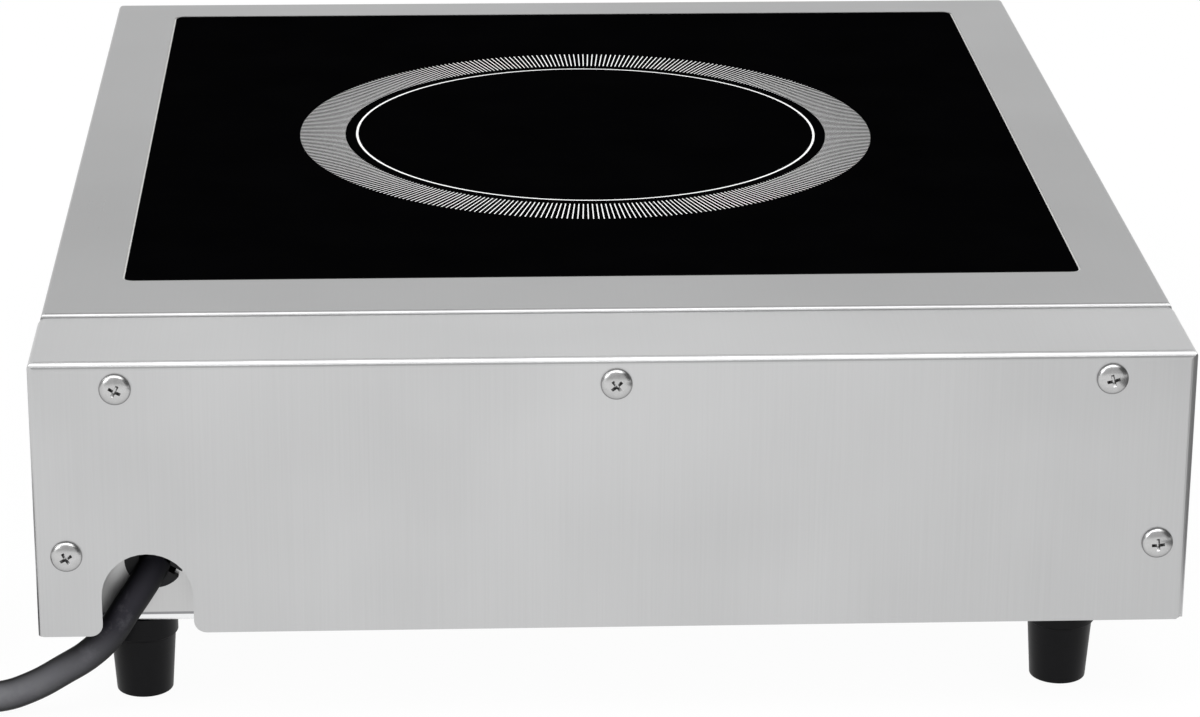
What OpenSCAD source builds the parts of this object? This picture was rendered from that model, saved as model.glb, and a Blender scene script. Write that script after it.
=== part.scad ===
/* [Body] */
// Width across the rear cover
body_w = 340; // [330:1:380]
// Depth from the front panel's apron to the rear face
body_d = 440; // [430:1:500]
// Height from the underside of the base to the cooking surface
case_h = 89; // [87:1:120]
// Thickness of the stainless steel sheet
sheet = 0.8; // [0.6:0.1:1.2]
// Outer radius of the sheet's bends
bend_r = 1.6; // [1.4:0.1:3]
// Height of the body's lower edge above the underside of the base
skirt_lift = 3.3; // [2:0.1:6]
// Depth of the sloping control panel, front to back
slope_d = 44; // [42:1:52]
// Height of the upright apron under the slope
apron_h = 23; // [16:1:25]
// Thickness of the base's sheet
tray_t = 1; // [0.8:0.1:1.4]
// Height of the base's side flanges above its underside
tray_flange_h = 19; // [14:1:24]

/* [Rear cover] */
// Outer radius of the cover's bends
cover_bend_r = 2.2; // [1.6:0.1:2.4]
// Depth of the cover's top strip
strip_d = 40; // [34:1:56]
// How far the strip lies below the cooking surface
strip_drop = 1; // [0.6:0.1:2]
// Gap between the strip and the top plate
seam_gap = 0.3; // [0.3:0.1:1.2]
// Distance from the rear face to the base's rear wall
duct_d = 16; // [15:0.5:20]
// Width of the cord notch
notch_w = 26.8; // [24:0.2:32]
// Height of the cord notch
notch_h = 25.2; // [22:0.2:28]
// Distance from the cover's side to the middle of the notch
notch_inset = 32.5; // [30:0.5:45]
// Radius of the flare at the foot of the notch
notch_flare = 3.7; // [2:0.1:4]
// How far the tab beside the notch hangs below the rest of the edge
tab_drop = 0.8; // [0.3:0.1:1.4]
// Distance of the outer top screws from the cover's sides
top_screw_inset = 25.2; // [22:0.2:40]
// Depth of the top screws below the cooking surface
top_screw_drop = 8.9; // [8:0.1:12]
// Distance of the ear screws from the cover's sides
ear_screw_inset = 9.3; // [9:0.1:12]
// Depth of the ear screws below the cooking surface
ear_screw_drop = 60.8; // [40:0.2:62]

/* [Glass] */
// Steel margin beside the glass
margin_side = 23.5; // [21:0.5:34]
// Steel margin behind the glass
margin_rear = 31.3; // [27:0.1:40]
// Steel margin in front of the glass
margin_front = 17; // [16:0.5:30]
// Thickness of the glass
glass_t = 4; // [3:0.5:6]
// Corner radius of the glass
glass_r = 3; // [1:0.5:8]
// Width of the seal round the glass
glass_gap = 0.6; // [0.4:0.1:1.2]
// Thickness of the seal under the glass
seal_t = 0.8; // [0.5:0.1:1.5]
// Width of the ledge under the glass
ledge_w = 12; // [9:1:14]
// Width of the ledge's flange outside the glass
ledge_flange = 9; // [6:1:12]
// Thickness of the ledge's sheet
ledge_t = 1; // [0.8:0.1:1.4]

/* [Feet] */
// Height of the feet
foot_h = 26; // [22:1:36]
// Diameter of a foot where it leaves the collar
foot_top_d = 19.5; // [17:0.5:22]
// Diameter of a foot at the floor
foot_floor_d = 17; // [15:0.5:20]
// Diameter of a foot's collar
foot_collar_d = 21; // [20:0.5:24]
// Height of a foot's collar
foot_collar_h = 7.5; // [2:0.5:10]
// Distance of the feet from the body's side with the cord
foot_inset_cord_side = 29; // [25:0.5:40]
// Distance of the feet from the body's other side
foot_inset_far_side = 32.5; // [25:0.5:40]
// Distance of the rear feet from the rear face
foot_inset_rear = 27; // [27:0.5:40]
// Distance of the front feet from the apron
foot_inset_front = 30; // [18:0.5:44]

/* [Screws] */
// Diameter of the case screws' heads
head_d = 9.3; // [8:0.1:10]
// Height of the case screws' heads
head_h = 2.4; // [1.8:0.1:3]
// Shank diameter of the case screws
screw_d = 4; // [3:0.1:4.2]
// Length of the case screws under the head
screw_l = 8; // [6:0.5:10]
// Shank diameter of the small screws inside
small_d = 3; // [2.5:0.1:3.5]

/* [Coil] */
// Outer diameter of the winding
coil_d = 190; // [150:2:200]
// Inner diameter of the winding
coil_bore = 44; // [36:1:60]
// Thickness of the litz wire
litz_d = 4; // [3:0.2:5]
// Thickness of the mica sheet
mica_t = 0.5; // [0.3:0.1:1]
// Thickness of the coil carrier
carrier_t = 9; // [8:0.5:10]
// Number of ferrite bars
ferrite_count = 8; // [4:1:10]
// Width of a ferrite bar
ferrite_w = 12; // [8:1:14]
// Thickness of a ferrite bar
ferrite_t = 5; // [3:0.5:6]
// Length of the coil springs
coil_spring_l = 11; // [9:0.5:12]
// Width of the coil bridge, front to back
bridge_w = 120; // [112:2:130]
// Thickness of the coil bridge
bridge_t = 1.5; // [1:0.1:2]
// Diameter of the temperature sensor's puck
sensor_d = 12; // [9:0.5:14]

/* [Power board] */
// Width of the power board
board_w = 230; // [220:2:240]
// Length of the power board
board_l = 150; // [144:2:160]
// Thickness of the circuit boards
board_t = 1.6; // [1.2:0.1:2]
// Height of the standoffs under the power board
standoff_h = 8; // [5:0.5:9]
// Width of the heat sink
sink_w = 110; // [96:2:116]
// Length of the heat sink, along the air flow
sink_l = 84; // [80:2:90]
// Height of the heat sink
sink_h = 34; // [30:1:36]
// Thickness of the heat sink's base
sink_base = 6; // [4:0.5:8]
// Thickness of a heat sink fin
fin_t = 2; // [1.5:0.1:2.5]
// Number of heat sink fins
fin_count = 14; // [8:1:16]

/* [Fans] */
// Width of a fan's square frame
fan_w = 92; // [80:1:96]
// Depth of a fan
fan_t = 25; // [20:1:28]
// Distance between the fans' centres
fan_pitch = 110; // [104:1:130]
// Diameter of a fan's hub
hub_d = 36; // [30:1:40]
// Number of blades
blade_count = 7; // [5:1:9]
// Running gap between the blades and the frame
blade_gap = 1; // [0.6:0.1:2]
// Diameter of a fan's shaft
fan_shaft_d = 3; // [2:0.1:4]

/* [Controls] */
// Width of the printed control overlay
overlay_w = 200; // [190:2:210]
// Height of the printed control overlay
overlay_h = 52; // [44:1:54]
// Thickness of the overlay
overlay_t = 0.5; // [0.3:0.1:0.8]
// Width of the display's window
display_w = 70; // [50:1:72]
// Height of the display's window
display_h = 26; // [18:1:28]
// Diameter of the knob
knob_d = 34; // [28:1:36]
// Height of the knob
knob_h = 14; // [12:0.5:15]
// Diameter of the encoder's shaft
shaft_d = 6; // [5:0.5:7]
// Diameter of the push buttons
button_d = 12; // [10:0.5:13]
// Distance from the body's side to the middle of the knob
knob_inset = 58; // [56:1:60]
// Travel of the push buttons
button_travel = 1; // [0.5:0.1:1.2]
// Depth of the control board below the panel
control_depth = 13; // [12:0.5:14]

/* [Cord] */
// Diameter of the mains cord
cord_d = 9.2; // [8:0.1:10]
// Diameter of the strain relief's flange
relief_d = 17.8; // [17:0.1:20]
// Height of the strain relief above the underside of the base
relief_h = 20.8; // [18:0.2:22]
// Distance from the cover's side to the strain relief
relief_inset = 33.9; // [33:0.1:40]
// Length of the plug's body
plug_l = 34; // [28:1:42]

/* [Hidden] */
$fn = 48;
eps = 0.5;       // how far a cutter runs past the face it opens
fit = 0.05;      // radial clearance of a turning or threaded fit
touch = 0.3;     // gap between pieces that meet but don't bear on each other
skin = 0.02;     // hairline under what lies on the sloping panel

// Heights
top_z = foot_h + case_h;
skirt_z = foot_h + skirt_lift;
strip_z = top_z - strip_drop;
floor_in_z = foot_h + tray_t;

// Depths: the screw heads behind balance the origin
rear_y = (body_d - head_h) / 2;
front_y = rear_y - body_d;
seam_y = rear_y - strip_d;
plate_front_y = front_y + slope_d;
wall_y = rear_y - duct_d;

// Widths
side_x = body_w / 2 - sheet;      // outer face of the housing's sides
inner_x = side_x - sheet;         // inner face of the housing's sides
cover_hole_r = screw_d / 2 + 0.3;
thread_r = screw_d / 2 + fit;

// The rear cover's inner face, and the ears and crossbar behind it
cover_in_y = rear_y - sheet;
bar_t = 1;
bar_h = 16;
ear_w = ear_screw_inset + 6;
bar_half_w = side_x - ear_w - touch;
bar_bend_r = max(cover_bend_r - sheet, bar_t) + 0.2;

// The sloping panel's own frame: x along the body, y up the slope, z out of it
lip_z = top_z - sheet;
knee_z = skirt_z + apron_h;
slope_top_y = plate_front_y + 0.4;
slope_tilt = atan2(lip_z - knee_z, slope_top_y - front_y);
slope_y = (front_y + slope_top_y) / 2;
slope_z = (lip_z + knee_z) / 2;

// Glass
glass_w = body_w - 2 * margin_side;
glass_l = seam_y - plate_front_y - margin_rear - margin_front;
glass_y = seam_y - margin_rear - glass_l / 2;
glass_under_z = top_z - glass_t;
ledge_top_z = glass_under_z - seal_t;
ledge_wall = glass_gap + 1.5;     // from the glass's edge to the ledge's upright
ledge_reach = ledge_wall + ledge_flange;

// Coil stack, pressed up against the glass
mica_z = glass_under_z - mica_t;
winding_z = mica_z - litz_d;
carrier_z = winding_z - carrier_t;
bridge_top_z = carrier_z - coil_spring_l;
carrier_rim_t = 3;
carrier_rim_gap = 1;
carrier_r = coil_d / 2 + carrier_rim_gap + carrier_rim_t;
carrier_hole_r = 10;
bolt_x = 95 * carrier_r / 99;
bolt_y = 46 * carrier_r / 99;
bolt_ear_r = 8;
bolt_ear_t = 5;
bolt_d = 4;
bolt_head_d = 8;
bolt_head_h = 2.5;
litz_overlap = 0.94;              // pressed turns stand this share of a diameter apart
litz_turns = floor((coil_d - coil_bore) / 2 / litz_d / litz_overlap);
litz_pitch = ((coil_d - coil_bore) / 2 - litz_d) / (litz_turns - 1);
ferrite_in_r = coil_bore / 2 + 6;
ferrite_out_r = coil_d / 2 - 6;
bridge_leg_x = inner_x - 12;

// Power board, behind the fans
board_y = wall_y - 34 - board_l / 2;
board_x = -22;
board_z = floor_in_z + standoff_h;
board_top_z = board_z + board_t;
sink_x = board_x - 2;
hole_in = 6;
sink_y = board_y - board_l / 2 + hole_in + small_d + 1 + sink_l / 2;
board_holes = [for (i = [-1, 0, 1], j = [-1, 1])
  [board_x + i * (board_w / 2 - hole_in), board_y + j * (board_l / 2 - hole_in)]];

// Fans, on the base in front of the board
fan_y = board_y - board_l / 2 - fan_w / 2 - 8;
fan_hole = fan_w / 2 - 5;
fan_bore_r = fan_w / 2 - 2;
blade_r = fan_bore_r - blade_gap;
motor_t = 6;          // depth of the plate that carries a fan's motor
fan_sides = [-1, 1];

// Controls: places along the panel
panel_in = -sheet;    // inner face of the panel, in the slope's frame
overlay_x = -30;
knob_x = body_w / 2 - knob_inset;
knob_y = 6;
display_x = -20;
button_hole_r = button_d / 2 + 0.2;
button_y = -6;
lens_y = 12;
lens_r = 1.5;
power_x = overlay_x - overlay_w / 2 + 20;
mode_x = power_x + 26;
timer_x = overlay_x + overlay_w / 2 - 26;
button_xs = [power_x, mode_x, timer_x];
control_w = 254;
control_h = 50;
board_face = -control_depth;
switch_h = 4;
bushing_d = shaft_d + 2;
bushing_out = 3;
knob_gap = 1;
post_d = 5;
post_xs = [-control_w / 2 + 6, control_w / 2 - 6];
post_ys = [-control_h / 2 + 5, control_h / 2 - 5];

// Strain relief and notch
relief_x = body_w / 2 - relief_inset;
relief_z = foot_h + relief_h;
relief_out = 2;
relief_neck_d = 14.6;
relief_in = 12;
notch_x = body_w / 2 - notch_inset;

// Feet
foot_xs = [body_w / 2 - foot_inset_cord_side, foot_inset_far_side - body_w / 2];
foot_rear_y = rear_y - foot_inset_rear;
foot_front_y = front_y + foot_inset_front;
foot_spots = [for (x = foot_xs, y = [foot_rear_y, foot_front_y]) [x, y]];
foot_recess_h = foot_h - 6;

// The free cord: out of the strain relief, down past the tab and along the floor
cord_route = [
  [135.6, 203.4, 46.2], [137.2, 205.8, 43.7], [140.4, 208.6, 39.2], [144.8, 210.6, 33.1],
  [149.6, 211.5, 26], [155.2, 211.6, 20.2], [163.4, 211, 14.6], [173.6, 210, 8.5],
  [183, 208.8, 5], [192, 208, 4.7], [206, 207.8, 4.8], [220, 207.8, 5.2], [236, 207.8, 5.6],
  [250, 207.8, 5.6]
];
// The coil: four turns of the cord, two beside two
coil_at = [250, 157.2];
coil_mid_r = 46;
coil_low_z = 1;
coil_half = cord_d;
// The last stretch, off the coil and along the floor to the plug
tail_route = [
  [250, 207.8, 15], [264, 207, 14.8], [277.5, 203, 14.2], [289.5, 195.5, 12.8],
  [299.5, 184.5, 10.4], [306.5, 171, 7.6], [309.8, 157, 5.2], [310, 144, 4.7],
  [310, 127, 4.7], [310, 109, 4.7], [310, 91, 4.7], [310, 76, 4.8], [310, 64, 6],
  [310, 52, 8.4], [310, 43, 10.6], [310, 37, 11.8]
];
plug_at = [310, 37, 12.5];
boot_l = 26;
boot_d = 14;
plug_w = 27;
plug_t = 25;
blade_l = 17.5;
earth_l = 21;

// ---- shapes that repeat ----

function unit(v) = v / norm(v);

// An arc of radius r in place of corner b of the path a-b-c
function corner_arc(a, b, c, r, n) =
  let (
    u = unit(a - b), w = unit(c - b), half = acos(u * w) / 2,
    centre = b + unit(u + w) * r / sin(half),
    p = b + u * r / tan(half) - centre, q = b + w * r / tan(half) - centre,
    from = atan2(p[1], p[0]), sweep = (atan2(q[1], q[0]) - from + 540) % 360 - 180
  )
  [for (i = [0:n]) centre + r * [cos(from + sweep * i / n), sin(from + sweep * i / n)]];

// An open path with its inner corners rounded
function bent(path, r, n = 6) = concat(
  [path[0]],
  [for (i = [1:len(path) - 2]) each corner_arc(path[i - 1], path[i], path[i + 1], r, n)],
  [path[len(path) - 1]]
);

// A closed outline with every corner rounded
function rounded(points, r, n = 6) =
  let (m = len(points))
  [for (i = [0:m - 1]) each corner_arc(points[(i + m - 1) % m], points[i], points[(i + 1) % m], r, n)];

// The line beside a path, t to its left
function beside(path, t) = [for (i = [0:len(path) - 1])
  let (
    a = unit(i == 0 ? path[1] - path[0] : path[i] - path[i - 1]),
    b = unit(i == len(path) - 1 ? a : path[i + 1] - path[i]),
    n = [-a[1], a[0]], m = unit(n + [-b[1], b[0]])
  )
  path[i] + m * t / (m * n)];

// The outline of a sheet of thickness t folded along a path
function folded(path, t) = let (other = beside(path, t), m = len(path))
  concat(path, [for (i = [1:m]) other[m - i]]);

function rect(x0, y0, x1, y1) = [[x0, y0], [x1, y0], [x1, y1], [x0, y1]];

// A profile drawn in Y and Z, run along X from -half to half
module along_x(half) {
  rotate([90, 0, 90]) translate([0, 0, -half]) linear_extrude(2 * half) children();
}

// A profile drawn in X and Z, run along Y from y0 to y1
module along_y(y0, y1) {
  translate([0, y1, 0]) rotate([90, 0, 0]) linear_extrude(y1 - y0) children();
}

// A block between two corners
module block(a, b) {
  translate(a) cube(b - a);
}

// A block whose edges are rounded all round, between two corners
module soft_block(a, b, r) {
  intersection() {
    translate([0, 0, a[2]]) linear_extrude(b[2] - a[2]) polygon(rounded(rect(a[0], a[1], b[0], b[1]), r));
    along_y(a[1], b[1]) polygon(rounded(rect(a[0], a[2], b[0], b[2]), r));
    translate([(a[0] + b[0]) / 2, 0, 0]) along_x((b[0] - a[0]) / 2)
      polygon(rounded(rect(a[1], a[2], b[1], b[2]), r));
  }
}

// Everything moved into the sloping panel's frame
module on_slope(x = 0, y = 0, z = 0) {
  translate([0, slope_y, slope_z]) rotate([slope_tilt, 0, 0]) translate([x, y, z]) children();
}

// A rounded plate, centred, from z = 0 up
module plate(w, l, t, r) {
  linear_extrude(t) polygon(rounded(rect(-w / 2, -l / 2, w / 2, l / 2), r));
}

// A slot with round ends, along X
module slot(l, w, t) {
  translate([-l / 2 + w / 2, -w / 2, 0]) cube([l - w, w, t]);
  for (s = [-1, 1]) translate([s * (l - w) / 2, 0, 0]) cylinder(d = w, h = t);
}

// A round tube along a path
module tube(path, r, sides = 10) {
  m = len(path);
  ring = [for (i = [0:m - 1])
    let (
      t = unit(path[min(i + 1, m - 1)] - path[max(i - 1, 0)]),
      s = unit(cross(t, [0, 0, 1])), u = cross(s, t)
    )
    each [for (k = [0:sides - 1]) path[i] + r * (cos(360 * k / sides) * s + sin(360 * k / sides) * u)]];
  walls = [for (i = [0:m - 2], k = [0:sides - 1])
    [i * sides + k, i * sides + (k + 1) % sides, (i + 1) * sides + (k + 1) % sides, (i + 1) * sides + k]];
  ends = [[for (k = [sides - 1:-1:0]) k], [for (k = [0:sides - 1]) (m - 1) * sides + k]];
  polyhedron(ring, concat(walls, ends), convexity = 6);
}

// A spring standing on z = 0
module spring(r, wire, l, turns) {
  steps = 12;
  tube([for (i = [0:turns * steps])
    [r * cos(360 * i / steps), r * sin(360 * i / steps),
     wire / 2 + 0.05 + (l - wire - 0.1) * i / (turns * steps)]], wire / 2, 6);
}

// A case screw with its head's underside on z = 0 and its shank below
module case_screw(turn = 0) {
  dome = head_d / 2 - 0.6;
  cross_w = 0.9;
  cross_l = head_d / 2;
  cross_h = head_h * 0.55;
  difference() {
    union() {
      rotate_extrude() polygon(concat(
        [[0, 0], [head_d / 2, 0], [head_d / 2, 0.5]],
        [for (i = [1:7])
          [dome * cos(i * 90 / 7) + 0.6 * (1 - i / 7), 0.5 + (head_h - 0.5) * sin(i * 90 / 7)]]));
      translate([0, 0, -screw_l]) cylinder(d = screw_d, h = screw_l + eps);
    }
    for (a = [0, 90]) rotate(turn + a)
      translate([-cross_l / 2, -cross_w / 2, head_h - cross_h]) cube([cross_l, cross_w, head_h]);
  }
}

// A pan head screw of the small size, head up, shank below z = 0
module small_screw(l) {
  cylinder(d = small_d * 1.9, h = small_d * 0.6);
  translate([0, 0, -l]) cylinder(d = small_d, h = l + eps);
}

// ---- body ----

// A case's outline, seen from the side: slope, apron and the cut for the strip
module side_outline(rear, strip_top) {
  // the top plate's rear edge is a bend, seen along the seam
  seam = corner_arc([plate_front_y, top_z], [seam_y, top_z], [seam_y, strip_top], bend_r, 6);
  polygon(concat(
    [[front_y, skirt_z], [front_y, knee_z], [plate_front_y, lip_z], [plate_front_y, top_z]],
    seam,
    [[seam_y, strip_top], [rear, strip_top], [rear, skirt_z]]
  ));
}

module housing() {
  rear = cover_in_y;
  under_strip = strip_z - cover_bend_r - touch;
  color("lightgray") difference() {
    intersection() {
      // one sheet over the top and down both sides, with its rear edges turned in
      difference() {
        soft_block([-side_x, front_y - 20, -20], [side_x, rear, top_z], bend_r);
        difference() {
          soft_block([-inner_x, front_y - 30, -40], [inner_x, rear - sheet, top_z - sheet], bend_r - sheet);
          // the top plate's rear edge, turned down at the seam
          block([-inner_x, seam_y - sheet, top_z - 12], [inner_x, seam_y, top_z]);
        }
        // nothing of the top plate is left behind the seam
        block([-side_x - eps, seam_y, under_strip], [side_x + eps, rear + eps, top_z + eps]);
        // the rear is open between the ears
        block([-side_x + ear_w, rear - 5, -50], [side_x - ear_w, rear + eps, top_z + eps]);
      }
      along_x(side_x + eps) side_outline(rear, under_strip);
    }
    // the aperture for the glass
    translate([0, glass_y, top_z - 5])
      plate(glass_w + 2 * glass_gap, glass_l + 2 * glass_gap, 10, glass_r + glass_gap);
    ear_holes(thread_r);
    side_holes(cover_hole_r);
  }
}

// Places of the rear screws, on the rear face
function rear_spots() = concat(
  [for (x = [-1, 0, 1]) [x * (body_w / 2 - top_screw_inset), top_z - top_screw_drop]],
  [for (x = [-1, 1]) [x * (body_w / 2 - ear_screw_inset), top_z - ear_screw_drop]]
);

module ear_holes(r) {
  for (p = rear_spots()) translate([p[0], rear_y - 12, p[1]]) rotate([-90, 0, 0]) cylinder(r = r, h = 24);
}

// Places of the side screws, along the base's flanges
side_screw_z = foot_h + (skirt_lift + tray_flange_h) / 2;
side_screw_ys = [foot_front_y + 20, 0, seam_y - 26];

module side_holes(r) {
  for (y = side_screw_ys)
    translate([-body_w, y, side_screw_z]) rotate([0, 90, 0]) cylinder(r = r, h = 2 * body_w);
}

module front_panel() {
  return_w = 10;
  lip_y = glass_y - glass_l / 2 - ledge_reach - touch;
  low = foot_h + tray_flange_h + touch;
  path = bent([[lip_y, lip_z], [slope_top_y, lip_z], [front_y, knee_z], [front_y, skirt_z]], bend_r);
  color("lightgray") difference() {
    union() {
      along_x(inner_x) polygon(folded(path, sheet));
      // side returns against the housing, above the base's flanges
      for (s = [-1, 1]) translate([s * (inner_x - sheet / 2), 0, 0]) along_x(sheet / 2) polygon([
        [front_y + sheet / 2, low], [front_y + sheet / 2, knee_z],
        [slope_top_y + sheet / 2, lip_z - sheet - 1], [slope_top_y + return_w, lip_z - sheet - 1],
        [front_y + return_w, knee_z], [front_y + return_w, low]
      ]);
    }
    // the lip stops short of the bends in the housing's corners
    for (s = [-1, 1]) translate([s * inner_x, slope_top_y + 5, lip_z])
      cube([2 * bend_r, 14, 4], center = true);
    on_slope(display_x, 0, -4) plate(display_w + 1, display_h + 1, 8, 1);
    for (x = button_xs) {
      on_slope(x, button_y, -4) cylinder(r = button_hole_r, h = 8);
      on_slope(x, lens_y, -4) cylinder(r = lens_r + 0.1, h = 8);
    }
    on_slope(knob_x, knob_y, -4) cylinder(d = bushing_d + 2 * fit, h = 8);
  }
}

// The cover's lower edge round the notch, drawn on the rear face
module cover_edge() {
  r = notch_w / 2;
  crown_z = skirt_z + notch_h - r;
  left = notch_x + r;
  right = notch_x - r;
  foot = notch_flare;
  low = skirt_z - tab_drop;
  polygon(concat(
    [[-body_w, skirt_z], [-body_w, -50], [body_w, -50], [body_w, low]],
    [for (i = [0:6]) [left + foot - foot * sin(i * 15), low + foot - foot * cos(i * 15)]],
    [for (i = [0:18]) [notch_x + r * cos(i * 10), crown_z + r * sin(i * 10)]],
    [for (i = [6:-1:0]) [right - foot + foot * sin(i * 15), skirt_z + foot - foot * cos(i * 15)]]
  ));
}

module rear_cover() {
  half = body_w / 2;
  front = seam_y + seam_gap;
  clip = 1.6;
  color("lightgray") difference() {
    soft_block([-half, front - 20, -20], [half, rear_y, strip_z], cover_bend_r);
    soft_block([-half + sheet, front - 40, -40], [half - sheet, rear_y - sheet, strip_z - sheet],
      cover_bend_r - sheet);
    block([-half - eps, front - 60, -60], [half + eps, front, top_z + eps]);
    along_y(front - 50, rear_y + eps) cover_edge();
    // the strip's front corners, and the clipped corner at the lower edge
    for (s = [-1, 1]) translate([s * half, front, strip_z - 2 * cover_bend_r]) rotate(45)
      translate([-1, -1, 0]) cube([2, 2, 4 * cover_bend_r]);
    translate([-half, rear_y - sheet - 1, skirt_z]) rotate([0, 45, 0])
      translate([-clip, 0, -clip]) cube([2 * clip, 3 * sheet, 2 * clip]);
    ear_holes(cover_hole_r);
  }
}

// An outline with square corners above and bends below, for a tray
module tray_block(grow) {
  x = inner_x + grow;
  y0 = front_y + sheet - grow;
  y1 = wall_y + grow;
  soft_block([-x, y0, foot_h - grow], [x, y1, top_z + 40], bend_r + 0.4 + grow);
}

module base_tray() {
  flange_z = foot_h + tray_flange_h;
  wall_top_z = strip_z - sheet - bar_bend_r - touch;
  color("silver") difference() {
    tray_block(0);
    tray_block(-tray_t);
    // low flanges at the front and the sides, and a full wall at the rear
    block([-body_w, -body_d, flange_z], [body_w, wall_y - 2 * bend_r, top_z + 60]);
    block([-body_w, -body_d, wall_top_z], [body_w, body_d, top_z + 60]);
    // the flanges end short of the wall
    for (s = [-1, 1])
      block([s * (inner_x - 2) - 3, wall_y - 20, flange_z], [s * (inner_x - 2) + 3, body_d, top_z]);
    exhaust_slots();
    for (s = fan_sides) translate([s * fan_pitch / 2, fan_y, foot_h - eps]) intake_slots();
    // the hole for the strain relief
    translate([relief_x, wall_y - 10, relief_z]) rotate([-90, 0, 0])
      cylinder(d = relief_neck_d + 0.2, h = 20);
    for (p = foot_spots) translate([p[0], p[1], foot_h - eps]) cylinder(r = thread_r, h = 5);
    side_holes(thread_r);
    for (p = board_holes) translate([p[0], p[1], foot_h - eps]) cylinder(d = small_d + 2 * fit, h = 5);
    for (s = fan_sides, i = [-1, 1], j = [-1, 1])
      translate([s * fan_pitch / 2 + i * fan_hole, fan_y + j * fan_hole, foot_h - eps])
        cylinder(d = small_d + 0.4, h = 5);
  }
}

// Upright slots in the base's rear wall, clear of the cord
module exhaust_slots() {
  w = 3.4;
  h = 24;
  pitch = 8;
  low = foot_h + 14;
  last_x = notch_x - notch_w / 2 - 14;
  first_x = -body_w / 2 + 24;
  for (x = [first_x:pitch:last_x], row = [0, 1])
    translate([x, wall_y - 5, low + row * (h + 6)]) cube([w, 10, h]);
}

// Slots under one fan, shorter towards its sides
module intake_slots() {
  w = 3.4;
  pitch = 7;
  reach = fan_bore_r - 3;
  rows = floor((reach - 8) / pitch);
  for (i = [-rows:rows])
    translate([0, i * pitch, 0]) slot(2 * sqrt(reach * reach - i * i * pitch * pitch), w, 5);
}

module rear_crossbar() {
  top = strip_z - sheet;
  path = bent([[cover_in_y, top - bar_h], [cover_in_y, top], [wall_y - tray_t - bar_t, top],
    [wall_y - tray_t - bar_t, top - 12]], bar_bend_r);
  color("silver") difference() {
    along_x(bar_half_w) polygon(folded(path, bar_t));
    ear_holes(thread_r);
  }
}

module rear_screws() {
  turns = [15, 40, 62, 5, 30];
  spots = rear_spots();
  color("gainsboro") for (i = [0:len(spots) - 1])
    translate([spots[i][0], rear_y, spots[i][1]]) rotate([-90, 0, 0]) case_screw(turns[i]);
}

module side_screws() {
  color("gainsboro") for (s = [-1, 1], i = [0:2])
    translate([s * side_x, side_screw_ys[i], side_screw_z]) rotate([0, s * 90, 0]) case_screw(20 + 35 * i);
}

// ---- feet ----

module foot(x, y) {
  edge = 0.5;
  r = foot_floor_d / 2;
  color("dimgray") translate([x, y, 0]) difference() {
    rotate_extrude() polygon(concat(
      [[0, 0]],
      [for (i = [0:4]) [r - edge + edge * sin(i * 22.5), edge - edge * cos(i * 22.5)]],
      [[foot_top_d / 2, foot_h - foot_collar_h], [foot_collar_d / 2, foot_h - foot_collar_h + 0.6],
       [foot_collar_d / 2, foot_h], [0, foot_h]]));
    translate([0, 0, -eps]) cylinder(d = screw_d + 6, h = foot_recess_h + eps);
    cylinder(r = cover_hole_r, h = foot_h + eps);
  }
}

module foot_screws() {
  head_t = 3;
  nut_t = 3;
  nut_z = foot_h - foot_recess_h + tray_t;
  color("gainsboro") for (p = foot_spots) translate([p[0], p[1], foot_recess_h]) {
    translate([0, 0, -head_t]) cylinder(d = screw_d * 2 - 0.5, h = head_t);
    translate([0, 0, -eps]) cylinder(d = screw_d, h = nut_z + nut_t + eps);
    // the nut on the base
    translate([0, 0, nut_z]) rotate(30) cylinder(d = screw_d * 2, h = nut_t, $fn = 6);
  }
}

// ---- glass ----

module glass_plate() {
  ground = 0.4;
  color("black") translate([0, glass_y, glass_under_z]) {
    plate(glass_w, glass_l, glass_t - ground, glass_r);
    translate([0, 0, glass_t - ground])
      plate(glass_w - ground / 2, glass_l - ground / 2, ground, glass_r);
  }
}

// A ring of one height, from the glass's edge grown by a to the edge grown by b
module glass_ring(a, b, z0, z1) {
  translate([0, glass_y, z0]) difference() {
    plate(glass_w + 2 * b, glass_l + 2 * b, z1 - z0, max(glass_r + b, 0.5));
    translate([0, 0, -eps])
      plate(glass_w + 2 * a, glass_l + 2 * a, z1 - z0 + 2 * eps, max(glass_r + a, 0.5));
  }
}

module glass_seal() {
  color("darkgray") union() {
    glass_ring(-ledge_w + 2, glass_gap, ledge_top_z, glass_under_z);
    glass_ring(0, glass_gap, glass_under_z - 0.2, top_z - 0.3);
  }
}

module glass_frame() {
  color("silver") union() {
    glass_ring(-ledge_w, ledge_wall + ledge_t, ledge_top_z - ledge_t, ledge_top_z);
    glass_ring(ledge_wall, ledge_wall + ledge_t, ledge_top_z - ledge_t, top_z - sheet);
    glass_ring(ledge_wall, ledge_reach, top_z - sheet - ledge_t, top_z - sheet);
  }
}

// ---- coil ----

module at_coil(z) {
  translate([0, glass_y, z]) children();
}

module coil_winding() {
  color("peru") at_coil(winding_z + litz_d / 2) rotate_extrude() union() {
    for (i = [0:litz_turns - 1])
      translate([coil_bore / 2 + litz_d / 2 + i * litz_pitch, 0]) circle(d = litz_d, $fn = 16);
  }
}

module bolt_spots() {
  for (x = [-1, 1], y = [-1, 1]) translate([x * bolt_x, y * bolt_y, 0]) children();
}

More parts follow.
